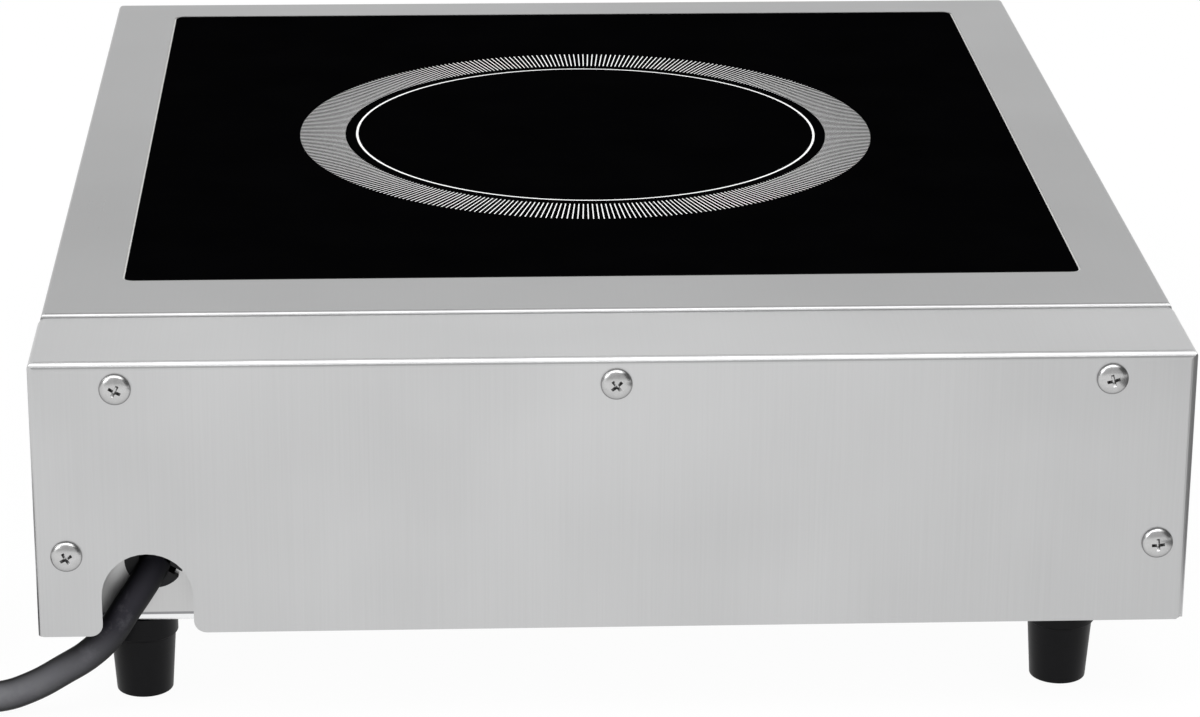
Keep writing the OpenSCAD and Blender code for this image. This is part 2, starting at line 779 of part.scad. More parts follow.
module coil_carrier() {
  rim_h = litz_d * 0.7;
  color("beige") at_coil(carrier_z) difference() {
    union() {
      cylinder(r = carrier_r, h = carrier_t);
      difference() {
        cylinder(r = carrier_r, h = carrier_t + rim_h);
        cylinder(r = carrier_r - carrier_rim_t, h = carrier_t + 2 * rim_h);
      }
      bolt_spots() cylinder(r = bolt_ear_r, h = bolt_ear_t);
    }
    translate([0, 0, -eps]) cylinder(r = carrier_hole_r, h = carrier_t + 1);
    // slots for the ferrites, open below
    ferrite_spots() translate([ferrite_in_r - touch, -ferrite_w / 2 - 0.1, -eps])
      cube([ferrite_out_r - ferrite_in_r + 2 * touch, ferrite_w + 0.2, ferrite_t + eps]);
    // the bolts, and room for their heads
    bolt_spots() {
      translate([0, 0, -eps]) cylinder(r = bolt_d / 2 + 0.3, h = 30);
      translate([0, 0, bolt_ear_t]) cylinder(r = bolt_head_d / 2 + 0.6, h = 30);
    }
  }
}

module ferrite_spots() {
  for (i = [0:ferrite_count - 1]) rotate((i + 0.5) * 360 / ferrite_count) children();
}

module ferrite_bars() {
  color("dimgray") at_coil(carrier_z) ferrite_spots()
    translate([ferrite_in_r, -ferrite_w / 2, 0]) cube([ferrite_out_r - ferrite_in_r, ferrite_w, ferrite_t]);
}

module mica_sheet() {
  color("wheat") at_coil(mica_z) difference() {
    cylinder(r = coil_d / 2, h = mica_t);
    translate([0, 0, -eps]) cylinder(d = sensor_d + 2, h = mica_t + 2 * eps);
  }
}

module coil_bridge() {
  leg = bridge_leg_x;
  path = bent([[-leg - 10, floor_in_z + bridge_t], [-leg, floor_in_z + bridge_t], [-leg, bridge_top_z],
    [leg, bridge_top_z], [leg, floor_in_z + bridge_t], [leg + 10, floor_in_z + bridge_t]], bridge_t + 1);
  color("silver") difference() {
    along_y(glass_y - bridge_w / 2, glass_y + bridge_w / 2) polygon(folded(path, -bridge_t));
    at_coil(bridge_top_z - 5) bolt_spots() cylinder(r = bolt_d / 2 + fit, h = 10);
  }
}

module coil_springs() {
  color("gray") at_coil(bridge_top_z) bolt_spots() spring(bolt_d / 2 + 1.2, 0.9, coil_spring_l, 4);
}

module coil_bolts() {
  shank = bolt_ear_t + coil_spring_l + bridge_t + 5;
  nut_h = 3;
  color("silver") at_coil(carrier_z + bolt_ear_t) bolt_spots() {
    cylinder(d = bolt_head_d, h = bolt_head_h);
    translate([0, 0, -shank]) cylinder(d = bolt_d, h = shank + eps);
    translate([0, 0, -bolt_ear_t - coil_spring_l - bridge_t - nut_h])
      cylinder(d = bolt_d * 1.9, h = nut_h, $fn = 6);
  }
}

sensor_t = 4;
sensor_stem = 8;

module pan_sensor() {
  color("ivory") at_coil(glass_under_z) {
    translate([0, 0, -sensor_t]) cylinder(d = sensor_d, h = sensor_t);
    translate([0, 0, -sensor_t - sensor_stem]) cylinder(d = sensor_d / 2, h = sensor_stem + eps);
  }
}

module sensor_spring() {
  color("gray") at_coil(bridge_top_z)
    spring(sensor_d / 2 - 1, 1, glass_under_z - sensor_t - bridge_top_z, 6);
}

// ---- power board ----

module power_board() {
  color("darkgreen") translate([0, 0, board_z]) difference() {
    translate([board_x, board_y, 0]) plate(board_w, board_l, board_t, 2);
    for (p = board_holes) translate([p[0], p[1], -eps]) cylinder(r = small_d / 2 + 0.2, h = 5);
  }
}

module board_standoffs() {
  color("gold") for (p = board_holes) translate([p[0], p[1], floor_in_z]) difference() {
    cylinder(d = 7, h = standoff_h, $fn = 6);
    translate([0, 0, -eps]) cylinder(r = small_d / 2 + fit, h = standoff_h + 2 * eps);
  }
}

module board_screws() {
  color("gainsboro") for (p = board_holes) {
    translate([p[0], p[1], board_top_z]) small_screw(board_t + standoff_h / 2 - 0.5);
    translate([p[0], p[1], foot_h]) rotate([180, 0, 0]) small_screw(tray_t + standoff_h / 2 - 0.5);
  }
}

module heat_sink() {
  pitch = (sink_w - fin_t) / (fin_count - 1);
  z = board_top_z;
  color("silver") along_y(sink_y - sink_l / 2, sink_y + sink_l / 2) union() {
    polygon(rect(sink_x - sink_w / 2, z, sink_x + sink_w / 2, z + sink_base));
    for (i = [0:fin_count - 1]) {
      x = sink_x - sink_w / 2 + i * pitch;
      polygon(rect(x, z + sink_base - 1, x + fin_t, z + sink_h));
    }
  }
}

// Middles of the two rows of parts beside the heat sink
beside_sink_x = (sink_x + sink_w / 2 + board_x + board_w / 2) / 2 - 5;
board_left_x = board_x - board_w / 2 + 28;
cap_w = 32;
cap_l = 14;
cap_h = 24;
package_leg = 4;      // height of a package above the board

// Packages that stand on the board against the heat sink's side
module package(y, w, h, t) {
  x = sink_x + sink_w / 2;
  low = board_top_z + package_leg;
  block([x, y - w / 2, low], [x + t, y + w / 2, low + h]);
  // three legs down to the board
  for (i = [-1, 0, 1]) translate([x + t / 2 - 0.4, y + i * w * 0.3 - 0.6, board_top_z])
    cube([0.8, 1.2, low - board_top_z + 1]);
}

module power_transistors() {
  color("dimgray") for (s = [-1, 1]) package(sink_y + s * 12 - 12, 16, 21, 5);
}

module bridge_rectifier() {
  color("dimgray") package(sink_y + 26, 26, 20, 5);
}

module film_capacitors() {
  y = board_y + board_l / 2 - 22;
  color("goldenrod") for (i = [0:2])
    translate([beside_sink_x - cap_w / 2, y - (cap_l + 4) * i - cap_l / 2, board_top_z])
      soft_block([0, 0, 0], [cap_w, cap_l, cap_h - 2 * i], 1);
}

module filter_choke() {
  r = 18;
  h = 14;
  color("darkkhaki") translate([board_left_x, board_y + board_l / 2 - 32, board_top_z]) {
    difference() {
      cylinder(r = r, h = h);
      translate([0, 0, -eps]) cylinder(r = r / 2, h = h + 2 * eps);
      for (a = [0, 180]) rotate(a) translate([0, -2, -eps]) cube([r + 1, 4, h + 2 * eps]);
    }
    // the board under the ring
    cylinder(r = r, h = 1.5);
  }
}

module aux_transformer() {
  color("saddlebrown") translate([board_left_x, board_y - board_l / 2 + 40, board_top_z]) {
    translate([-16, -13, 0]) cube([32, 26, 4]);
    translate([-15, -8, 0]) cube([30, 16, 24]);
    translate([-9, -12, 3]) cube([18, 24, 18]);
  }
}

module line_fuse() {
  color("gainsboro") translate([beside_sink_x, board_y - board_l / 2 + 50, board_top_z]) {
    translate([0, 15, 5]) rotate([90, 0, 0]) cylinder(d = 6, h = 30);
    for (s = [-1, 1]) translate([-2, s * 11 - 2, 0]) cube([4, 4, 5]);
  }
}

block_w = 30;
block_l = 22;
block_h = 20;
block_y = wall_y - 52;

module terminal_block() {
  z = floor_in_z;
  color("ivory") difference() {
    translate([relief_x - block_w / 2, block_y - block_l / 2, z]) cube([block_w, block_l, block_h]);
    for (i = [-1, 0, 1]) translate([relief_x + i * 9.5, block_y, z + block_h - 6]) cylinder(d = 5, h = 10);
  }
}

// The sheathed lead inside the case, from the strain relief to the terminals
module inlet_lead() {
  end_y = block_y + block_l / 2;
  end_z = floor_in_z + block_h / 2 + 3;
  color("dimgray") tube([
    [relief_x, wall_y - 7, relief_z], [relief_x, wall_y - relief_in, relief_z],
    [relief_x, (wall_y - relief_in + end_y) / 2, (relief_z + end_z) / 2],
    [relief_x, end_y + 6, end_z], [relief_x, end_y, end_z]
  ], cord_d / 2, 12);
}

// ---- fans ----

module at_fan(s) {
  translate([s * fan_pitch / 2, fan_y, floor_in_z]) children();
}

module fan_frame(s) {
  hub_r = hub_d / 2;
  top = fan_t - motor_t;
  plate_t = motor_t - 2.5;
  color("dimgray") at_fan(s) difference() {
    union() {
      difference() {
        plate(fan_w, fan_w, fan_t, 4);
        translate([0, 0, -eps]) cylinder(r = fan_bore_r, h = fan_t + 2 * eps);
      }
      // the motor plate and its three arms, above the rotor
      translate([0, 0, top + 2]) cylinder(r = hub_r, h = plate_t);
      for (a = [40, 160, 280]) rotate(a) translate([hub_r - 3, -2.5, top + 2])
        cube([fan_bore_r - hub_r + 4, 5, plate_t]);
    }
    // the bearing
    translate([0, 0, top - 5]) cylinder(r = fan_shaft_d / 2 + fit, h = 20);
    for (i = [-1, 1], j = [-1, 1]) translate([i * fan_hole, j * fan_hole, -eps])
      cylinder(d = small_d + 0.4, h = fan_t + 2 * eps);
  }
}

module fan_rotor(s) {
  low = 3;
  top = fan_t - motor_t + 1.5;
  hub_r = hub_d / 2;
  color("gray") at_fan(s) union() {
    translate([0, 0, low]) cylinder(r = hub_r, h = top - low);
    translate([0, 0, top - eps]) cylinder(d = fan_shaft_d, h = fan_t - top - 0.5 + eps);
    intersection() {
      translate([0, 0, low]) cylinder(r = blade_r, h = top - low);
      union() {
        for (i = [0:blade_count - 1]) rotate(i * 360 / blade_count)
          translate([hub_r - 2, 0, (low + top) / 2]) rotate([35, 0, 0])
            translate([0, -0.8, -fan_t]) cube([blade_r, 1.6, 2 * fan_t]);
      }
    }
  }
}

module fan_screws() {
  color("gainsboro") for (s = fan_sides) at_fan(s) for (i = [-1, 1], j = [-1, 1])
    translate([i * fan_hole, j * fan_hole, -tray_t]) rotate([180, 0, 0]) small_screw(fan_t - 8);
}

// ---- controls ----

module control_overlay() {
  color("black") on_slope() difference() {
    translate([overlay_x, 0, skin]) plate(overlay_w, overlay_h, overlay_t, 4);
    for (x = button_xs) translate([x, button_y, -eps]) cylinder(r = button_hole_r, h = 3);
    for (x = button_xs) translate([x, lens_y, -eps]) cylinder(r = lens_r + 0.1, h = 3);
  }
}

module display_module() {
  color("darkred") on_slope(display_x, 0, board_face) plate(display_w, display_h, control_depth - touch, 0.5);
}

module control_board() {
  color("green") on_slope() difference() {
    translate([0, 0, board_face - board_t]) plate(control_w, control_h, board_t, 1);
    for (x = post_xs, y = post_ys) translate([x, y, board_face - 5]) cylinder(r = small_d / 2 + fit, h = 10);
  }
}

// Studs on the back of the panel that carry the board
module control_posts() {
  color("silver") on_slope() for (x = post_xs, y = post_ys) translate([x, y, board_face]) {
    cylinder(d = post_d, h = control_depth + panel_in);
    translate([0, 0, -board_t - 3]) cylinder(d = small_d, h = board_t + 3 + eps);
    translate([0, 0, -board_t - 2]) cylinder(d = small_d * 1.8, h = 2, $fn = 6);
  }
}

module tact_switches() {
  color("dimgray") on_slope() for (x = button_xs)
    translate([x - 3, button_y - 3, board_face]) cube([6, 6, switch_h]);
}

module indicator_lenses() {
  color("tomato") on_slope() for (x = button_xs) translate([x, lens_y, 0]) {
    translate([0, 0, board_face]) cylinder(r = lens_r, h = control_depth + overlay_t + 0.3);
    translate([0, 0, panel_in - 2]) cylinder(r = lens_r + 1, h = 2);
  }
}

module encoder_body() {
  body = 12;
  low = -6.5;
  color("silver") on_slope(knob_x, knob_y) difference() {
    union() {
      translate([-body / 2, -body / 2, board_face]) cube([body, body, low - board_face]);
      translate([0, 0, low - eps]) cylinder(d = bushing_d, h = bushing_out - low + eps);
      // the nut that holds it to the panel
      translate([0, 0, skin]) cylinder(d = bushing_d * 1.6, h = 2, $fn = 6);
    }
    translate([0, 0, low + 1]) cylinder(r = shaft_d / 2 + fit, h = 20);
  }
}

module encoder_shaft() {
  low = -5.2;
  color("gainsboro") on_slope(knob_x, knob_y, low) cylinder(d = shaft_d, h = knob_h - 3 - low);
}

module control_knob() {
  grip_r = knob_d / 2;
  flutes = 24;
  skirt_in = bushing_d * 0.8 + 1.6;
  color("dimgray") on_slope(knob_x, knob_y) difference() {
    union() {
      translate([0, 0, knob_gap]) cylinder(r = grip_r, h = 3);
      translate([0, 0, knob_gap + 3 - eps])
        cylinder(r1 = grip_r - 1.5, r2 = grip_r - 2.5, h = knob_h - knob_gap - 4 + eps);
      translate([0, 0, knob_h - 1]) cylinder(r1 = grip_r - 2.5, r2 = grip_r - 3.5, h = 1);
    }
    // room for the nut and the bushing, and the hole for the shaft
    translate([0, 0, -eps]) cylinder(r = skirt_in, h = bushing_out + 1 + eps);
    cylinder(d = shaft_d, h = knob_h - 3);
    // grip flutes
    for (i = [0:flutes - 1]) rotate(i * 360 / flutes)
      translate([grip_r - 1, 0, knob_gap + 4]) cylinder(r = 0.9, h = knob_h, $fn = 16);
    // pointer
    translate([0, grip_r - 9, knob_h - 0.6]) translate([-0.75, 0, 0]) cube([1.5, 7, 2]);
  }
}

module push_button(x) {
  bevel = 0.4;
  top = overlay_t + 1.6;
  flange_t = 1;
  flange_top = panel_in - touch;
  stem_end = board_face + switch_h + button_travel + touch;
  color("gainsboro") on_slope(x, button_y) {
    translate([0, 0, flange_top - eps]) cylinder(d = button_d, h = top - bevel - flange_top + eps);
    translate([0, 0, top - bevel]) cylinder(d1 = button_d, d2 = button_d - 2 * bevel, h = bevel);
    translate([0, 0, flange_top - flange_t]) cylinder(d = button_d + 2.4, h = flange_t);
    translate([0, 0, stem_end]) cylinder(d = 4, h = flange_top - stem_end);
  }
}

// ---- cord ----

module strain_relief() {
  split_w = 2;
  through = relief_in + relief_out + 2 * eps;
  color("dimgray") translate([relief_x, wall_y, relief_z]) rotate([-90, 0, 0]) difference() {
    union() {
      cylinder(d = relief_d, h = relief_out);
      translate([0, 0, -tray_t - eps]) cylinder(d = relief_neck_d, h = tray_t + 2 * eps);
      translate([0, 0, -relief_in]) cylinder(d = relief_neck_d + 2, h = relief_in - tray_t);
    }
    translate([0, 0, -relief_in - eps]) cylinder(d = cord_d + 2 * fit, h = through);
    // the split that lets it close round the cord
    rotate(58) translate([-split_w / 2, cord_d / 2 - 1, -relief_in - eps])
      cube([split_w, relief_d, through]);
  }
}

module power_cord() {
  color("dimgray") union() {
    tube(cord_route, cord_d / 2, 12);
    tube(tail_route, cord_d / 2, 12);
  }
}

module at_cord_coil() {
  translate([coil_at[0], coil_at[1], 0]) children();
}

module cord_coil() {
  in = coil_mid_r - coil_half;
  color("dimgray") at_cord_coil() rotate_extrude($fn = 64)
    polygon(rounded(rect(in, coil_low_z, in + 2 * coil_half, coil_low_z + 2 * coil_half), 3));
}

module cord_tie() {
  t = coil_low_z;
  w = 10;
  in = [coil_mid_r - coil_half, coil_mid_r + coil_half];
  color("black") at_cord_coil() rotate(200) difference() {
    block([in[0] - t, -w / 2, 0], [in[1] + t, w / 2, 2 * t + 2 * coil_half]);
    difference() {
      block([in[0] - 4, -w, t], [in[1] + 4, w, t + 2 * coil_half]);
      difference() {
        block([in[0] - 5, -2 * w, 0], [in[1] + 5, 2 * w, 40]);
        difference() {
          cylinder(r = in[1], h = 60, center = true, $fn = 64);
          cylinder(r = in[0], h = 70, center = true, $fn = 64);
        }
      }
    }
  }
}

module plug_body() {
  color("dimgray") translate(plug_at) rotate([90, 0, 0]) union() {
    cylinder(d1 = cord_d + 2, d2 = boot_d, h = boot_l);
    translate([0, 0, boot_l - 1])
      soft_block([-plug_w / 2, -plug_t / 2, 0], [plug_w / 2, plug_t / 2, plug_l + 1], 3);
  }
}

module plug_pins() {
  face = boot_l + plug_l;
  blade_apart = 12.7;
  blade_t = 1.5;
  blade_w = 6.3;
  earth_d = 4.8;
  // height of the blades' and the earth pin's centres
  blade_at = -3.85;
  earth_at = 7.5;
  color("gold") translate(plug_at) rotate([90, 0, 0]) {
    for (s = [-1, 1])
      translate([(s * blade_apart - blade_t) / 2, blade_at - blade_w / 2, face])
        cube([blade_t, blade_w, blade_l]);
    translate([0, earth_at, face]) cylinder(d = earth_d, h = earth_l);
  }
}

housing();
front_panel();
rear_cover();
base_tray();
rear_crossbar();
rear_screws();
side_screws();
foot(foot_xs[0], foot_rear_y);  // foot_rear_left
foot(foot_xs[1], foot_rear_y);  // foot_rear_right
foot(foot_xs[0], foot_front_y);  // foot_front_left
foot(foot_xs[1], foot_front_y);  // foot_front_right
foot_screws();
glass_plate();
glass_seal();
glass_frame();
coil_winding();
coil_carrier();
ferrite_bars();
mica_sheet();
coil_bridge();
coil_springs();
coil_bolts();
pan_sensor();
sensor_spring();
power_board();
board_standoffs();
board_screws();
heat_sink();
power_transistors();
bridge_rectifier();
film_capacitors();
filter_choke();
aux_transformer();
line_fuse();
terminal_block();
inlet_lead();
fan_frame(1);  // fan_frame_left
fan_frame(-1);  // fan_frame_right
fan_rotor(1);  // fan_rotor_left
fan_rotor(-1);  // fan_rotor_right
fan_screws();
control_overlay();
control_board();
control_posts();
display_module();
tact_switches();
indicator_lenses();
encoder_body();
encoder_shaft();
control_knob();
push_button(power_x);  // power_button
push_button(mode_x);  // mode_button
push_button(timer_x);  // timer_button
strain_relief();
power_cord();
cord_coil();
cord_tie();
plug_body();
plug_pins();
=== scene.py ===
import math

import bpy
from mathutils import Matrix, Vector


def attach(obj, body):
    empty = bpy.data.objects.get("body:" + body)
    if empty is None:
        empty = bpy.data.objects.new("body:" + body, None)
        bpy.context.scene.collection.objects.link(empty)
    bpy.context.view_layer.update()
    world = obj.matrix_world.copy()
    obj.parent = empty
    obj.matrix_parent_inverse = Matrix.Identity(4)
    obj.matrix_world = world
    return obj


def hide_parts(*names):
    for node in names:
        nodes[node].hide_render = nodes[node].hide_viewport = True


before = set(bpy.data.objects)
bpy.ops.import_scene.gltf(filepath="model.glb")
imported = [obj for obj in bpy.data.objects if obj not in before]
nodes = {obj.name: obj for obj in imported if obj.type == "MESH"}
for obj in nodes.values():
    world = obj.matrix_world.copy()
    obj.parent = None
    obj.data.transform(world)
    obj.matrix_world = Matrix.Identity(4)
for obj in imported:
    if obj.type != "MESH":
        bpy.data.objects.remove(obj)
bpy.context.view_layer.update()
bpy.ops.object.select_all(action="DESELECT")

# ---- camera ----
# A long lens on a stand behind the hot plate, a little to the lead's side. It looks twenty degrees
# down, over the rear cover and on to the glass.
eye = Vector((0.0589, 1.2920, 0.5044))
turned, lowered, rolled = -0.0503, 0.3485, 0.0066
bpy.ops.object.camera_add(location=eye)
camera = bpy.context.object
camera.name = "camera"
camera.data.lens = 118.66
camera.data.sensor_width = 36
camera.rotation_euler = (
    Matrix.Rotation(math.pi + turned, 3, "Z")
    @ Matrix.Rotation(math.pi / 2 - lowered, 3, "X")
    @ Matrix.Rotation(rolled, 3, "Z")
).to_euler()
bpy.context.scene.camera = camera
bpy.context.scene.view_settings.view_transform = "Standard"

# ---- mains lead ----
# Three cores in a round rubber sheath. It leaves the bushing, drops to the table past the notch's
# tab, is wound into a coil of four turns, and ends in its plug. Its skin is dull and scuffed;
# painted light makes it paler near the table, and painted shade darkens it towards its outline.
MM = 0.001
lead_d = 9.2
lead_route = [
    (135.6, 203.4, 46.2), (137.2, 205.8, 43.7), (140.4, 208.6, 39.2), (144.8, 210.6, 33.1),
    (149.6, 211.5, 26), (155.2, 211.6, 20.2), (163.4, 211, 14.6), (173.6, 210, 8.5),
    (183, 208.8, 5), (192, 208, 4.7), (206, 207.8, 4.8), (220, 207.8, 5.2), (236, 207.8, 5.6),
]
tail_route = [
    (264, 207, 14.8), (277.5, 203, 14.2), (289.5, 195.5, 12.8),
    (299.5, 184.5, 10.4), (306.5, 171, 7.6), (309.8, 157, 5.2), (310, 144, 4.7),
    (310, 127, 4.7), (310, 109, 4.7), (310, 91, 4.7), (310, 76, 4.8), (310, 64, 6),
    (310, 52, 8.4), (310, 43, 10.6), (310, 37, 11.8),
]
coil_x, coil_y = 250, 157.2
coil_turns, knots_per_turn = 4, 24
outer_turn, inner_turn = 50.6, 41.4
low_layer, high_layer = 5.6, 14.8
lane_change = 0.25  # of a turn, at the end of each turn but the last


def eased(value, start, end):
    """How far the value is from start to end, with a soft beginning and stop."""
    share = min(max((value - start) / (end - start), 0), 1)
    return share * share * (3 - 2 * share)


turns = []
for i in range(coil_turns * knots_per_turn + 1):
    turn = i / knots_per_turn
    inwards = eased(turn, 1 - lane_change, 1) - eased(turn, 3 - lane_change, 3)
    radius = outer_turn + (inner_turn - outer_turn) * inwards
    angle = math.pi / 2 - 2 * math.pi * turn
    height = low_layer + (high_layer - low_layer) * eased(turn, 2 - lane_change, 2)
    turns.append((coil_x + radius * math.cos(angle), coil_y + radius * math.sin(angle), height))

lead_curve = bpy.data.curves.new("mains_lead", "CURVE")
lead_curve.dimensions = "3D"
lead_curve.bevel_depth = 1  # in half widths of the lead, which its knots carry
lead_curve.bevel_resolution = 7
lead_curve.resolution_u = 6
lead_curve.use_fill_caps = True
lead_line = lead_curve.splines.new("BEZIER")
lead_points = lead_route + turns + tail_route
lead_line.bezier_points.add(len(lead_points) - 1)
for knot, point in zip(lead_line.bezier_points, lead_points):
    knot.co = Vector(point) * MM
    knot.handle_left_type = knot.handle_right_type = "AUTO"
    knot.radius = lead_d / 2 * MM
lead = bpy.data.objects.new("mains_lead", lead_curve)
bpy.context.collection.objects.link(lead)
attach(lead, "case")
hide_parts("power_cord", "cord_coil")


class Channel:
    """One output of a material's nodes, with the usual arithmetic."""

    def __init__(self, finish, socket):
        self.finish, self.socket = finish, socket

    def of(self, operation, *others):
        """What a Math node makes of this value and the others."""
        return self.finish.node("ShaderNodeMath", self, *others, operation=operation)

    def __add__(self, other):
        return self.of("ADD", other)

    def __sub__(self, other):
        return self.of("SUBTRACT", other)

    def __rsub__(self, other):
        return self.finish.node("ShaderNodeMath", other, self, operation="SUBTRACT")

    def __mul__(self, other):
        return self.of("MULTIPLY", other)

    def __pow__(self, other):
        return self.of("POWER", other)

    def __lt__(self, other):
        return self.of("LESS_THAN", other)

    def __gt__(self, other):
        return self.of("GREATER_THAN", other)

    __radd__, __rmul__ = __add__, __mul__

    def near(self, middle, within):
        """1 where the value lies that close to the middle, 0 elsewhere."""
        return (self - middle).of("ABSOLUTE") < within

    def wave(self):
        """From 0 to 1 and back, once for each full circle that the value grows."""
        return self.of("SINE") * 0.5 + 0.5


class Finish:
    """A material whose nodes are written as expressions."""

    def __init__(self, name):
        self.material = bpy.data.materials.new(name)
        self.material.use_nodes = True
        self.tree = self.material.node_tree
        self.shader = self.tree.nodes["Principled BSDF"]
        self.place = self.node("ShaderNodeTexCoord", out="Object")

    def node(self, kind, *inputs, out=0, sockets=None, **settings):
        """A node with its settings, and what goes into its sockets, in their order or by name."""
        made = self.tree.nodes.new(kind)
        for setting, value in settings.items():
            setattr(made, setting, value)
        for socket, value in [*enumerate(inputs), *(sockets or {}).items()]:
            self.feed(made.inputs[socket], value)
        return Channel(self, made.outputs[out])

    def feed(self, socket, value):
        """Links a channel to a socket, or sets the socket's own number or colour."""
        if isinstance(value, Channel):
            self.tree.links.new(value.socket, socket)
        else:
            socket.default_value = (*value, 1) if socket.type == "RGBA" else value

    def noise(self, scale, detail=2.0, rough=0.5):
        """Smooth noise from 0 to 1, in waves per metre; three scales make streaks."""
        across = (scale,) * 3 if isinstance(scale, (int, float)) else scale
        at = self.node("ShaderNodeMapping", self.place, sockets={"Scale": across})
        return self.node("ShaderNodeTexNoise", at,
                         sockets={"Scale": 1.0, "Detail": detail, "Roughness": rough})

    def mix(self, share, low, high):
        """A colour between two others."""
        return self.node("ShaderNodeMix", share, sockets={6: low, 7: high}, out=2, data_type="RGBA")

    def xyz(self, vector=None):
        """The three numbers of a vector, the place on the piece unless another is given."""
        first = self.node("ShaderNodeSeparateXYZ", vector or self.place)
        return [Channel(self, output) for output in first.socket.node.outputs]

    def bump(self, height, depth):
        """A surface raised by the height, which is as deep as that in metres."""
        return self.node("ShaderNodeBump",
                         sockets={"Height": height, "Strength": 1.0, "Distance": depth})

    def surface(self, **sockets):
        """The finished material, from what feeds each of the shader's sockets."""
        for name, value in sockets.items():
            self.feed(self.shader.inputs[name.replace("_", " ")], value)
        return self.material


def dress(material, *things):
    """Gives pieces, or CAD nodes by name, their one material."""
    for thing in things:
        data = (nodes[thing] if isinstance(thing, str) else thing).data
        data.materials.clear()
        data.materials.append(material)


sheath = Finish("lead sheath")
unlit_above, fully_lit_below = 0.030, 0.008  # heights over the table, in metres, of the painted light's fade: none above, full below
worn = sheath.noise(90, 4, 0.6)
scuffed = sheath.node("ShaderNodeMapRange", sheath.noise(55, 6, 0.7), 0.50, 0.68, 0.0, 0.9)
# painted light: the sheath is paler near the table, where it lies level, and darker higher up
painted_light_low = sheath.node("ShaderNodeMapRange", sheath.xyz()[2], unlit_above, fully_lit_below, 0.0, 1.0)
turned_away = sheath.node("ShaderNodeLayerWeight", 0.5, out="Facing")
skin = sheath.mix(painted_light_low, (0.020, 0.019, 0.026), (0.150, 0.150, 0.160))
scuffed_skin = sheath.mix(scuffed, skin, (0.110, 0.109, 0.122))
# painted shade: the sheath darkens to near black towards its outline
dress(sheath.surface(
    Base_Color=sheath.mix(turned_away * 1.7, scuffed_skin, (0.002, 0.002, 0.003)),
    Roughness=0.46 + worn * 0.2,
    Specular_IOR_Level=0.16,
    Normal=sheath.bump(sheath.noise(900, 2, 0.5), 0.00003),
), lead)

# ---- plug ----
# A moulded plug in the lead's own rubber: a grip with ribs on both broad sides, and a boot of rings
# that lets the lead bend. The boot starts where the lead ends, and the pins stand in its front.
plug_x, plug_end_y, plug_z = 310, 37, 12.5
boot_length, boot_rings = 26, 7
first_ring, ring_pitch, ring_rise = 1.6, 3.5, 0.5
neck_r, neck_growth = 5.9, 0.18


def begin(name):
    """An empty piece at the origin, open for editing."""
    bpy.ops.object.select_all(action="DESELECT")
    bpy.ops.object.add(type="MESH")
    bpy.context.object.name = bpy.context.object.data.name = name
    bpy.ops.object.mode_set(mode="EDIT")


def end(slot, angle=30, body="case"):
    """Closes the piece that is being edited, and gives it its body. The slot is not used."""
    bpy.ops.mesh.select_all(action="SELECT")
    bpy.ops.mesh.normals_make_consistent(inside=False)
    bpy.ops.object.mode_set(mode="OBJECT")
    bpy.ops.object.shade_smooth_by_angle(angle=math.radians(angle))
    piece = bpy.context.object
    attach(piece, body)
    return piece


def settle(placed):
    """Puts the open piece where the matrix says, and leaves its origin at the frame's."""
    bpy.ops.object.mode_set(mode="OBJECT")
    bpy.context.object.matrix_world = placed
    bpy.ops.object.transform_apply(location=True, rotation=True, scale=True)
    bpy.ops.object.mode_set(mode="EDIT")


def turned_solid(profile, sides=40):
    """A solid of revolution on the Z axis: (radius, height) in millimetres, from its foot up."""
    bpy.ops.mesh.select_all(action="DESELECT")
    radius, height = profile[0]
    bpy.ops.mesh.primitive_circle_add(
        vertices=sides, radius=radius * MM, location=(0, 0, height * MM), fill_type="NGON")
    for next_radius, next_height in profile[1:]:
        bpy.ops.mesh.extrude_region_move(
            TRANSFORM_OT_translate={"value": (0, 0, (next_height - height) * MM)})
        grown = next_radius / radius
        bpy.ops.transform.resize(value=(grown, grown, 1), center_override=(0, 0, next_height * MM))
        radius, height = next_radius, next_height


def bar(x, y, z, width, length, thick, turn=0):
    """A block in millimetres, about its own middle."""
    bpy.ops.mesh.select_all(action="DESELECT")
    bpy.ops.mesh.primitive_cube_add(size=1, location=(x * MM, y * MM, z * MM))
    bpy.ops.transform.resize(value=(width * MM, length * MM, thick * MM),
                             center_override=(x * MM, y * MM, z * MM))
    if turn:
        bpy.ops.transform.rotate(value=math.radians(turn), orient_axis="Z",
                                 center_override=(x * MM, y * MM, z * MM))


down_the_lead = Matrix.Translation(Vector((plug_x, plug_end_y, plug_z)) * MM) @ Matrix.Rotation(
    math.pi / 2, 4, "X")
begin("plug_boot")
boot = [(5.0, 0), (5.7, 0.6)]
for i in range(boot_rings):
    start = first_ring + i * ring_pitch
    radius = neck_r + i * neck_growth
    boot += [(radius, start), (radius + ring_rise, start + 0.4),
             (radius + ring_rise, start + 1.8), (radius, start + 2.2)]
boot += [(7.2, boot_length)]
turned_solid(boot)
settle(down_the_lead)
plug_boot = end("plug_plastic")

shell_width, shell_thick, shell_length = 27, 25, 34
shell_edge = 3.2
grip_ribs, grip_from, grip_pitch = 6, 7, 3.4
rib_width, rib_rise, rib_length = 15, 0.7, 1.5
front_width, front_thick, front_rise = 21, 19.4, 0.6
begin("plug_shell")
bar(0, 0, boot_length + shell_length / 2, shell_width, shell_thick, shell_length)
bpy.ops.mesh.bevel(offset=shell_edge * MM, segments=5, affect="EDGES")
for side in (-1, 1):
    for i in range(grip_ribs):
        bar(0, side * (shell_thick - rib_rise) / 2, boot_length + grip_from + i * grip_pitch,
            rib_width, rib_rise, rib_length)
# the flat front that the pins stand in
bar(0, 0, boot_length + shell_length - front_rise / 2, front_width, front_thick, front_rise)
settle(down_the_lead)
plug_shell = end("plug_plastic")
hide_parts("plug_body")


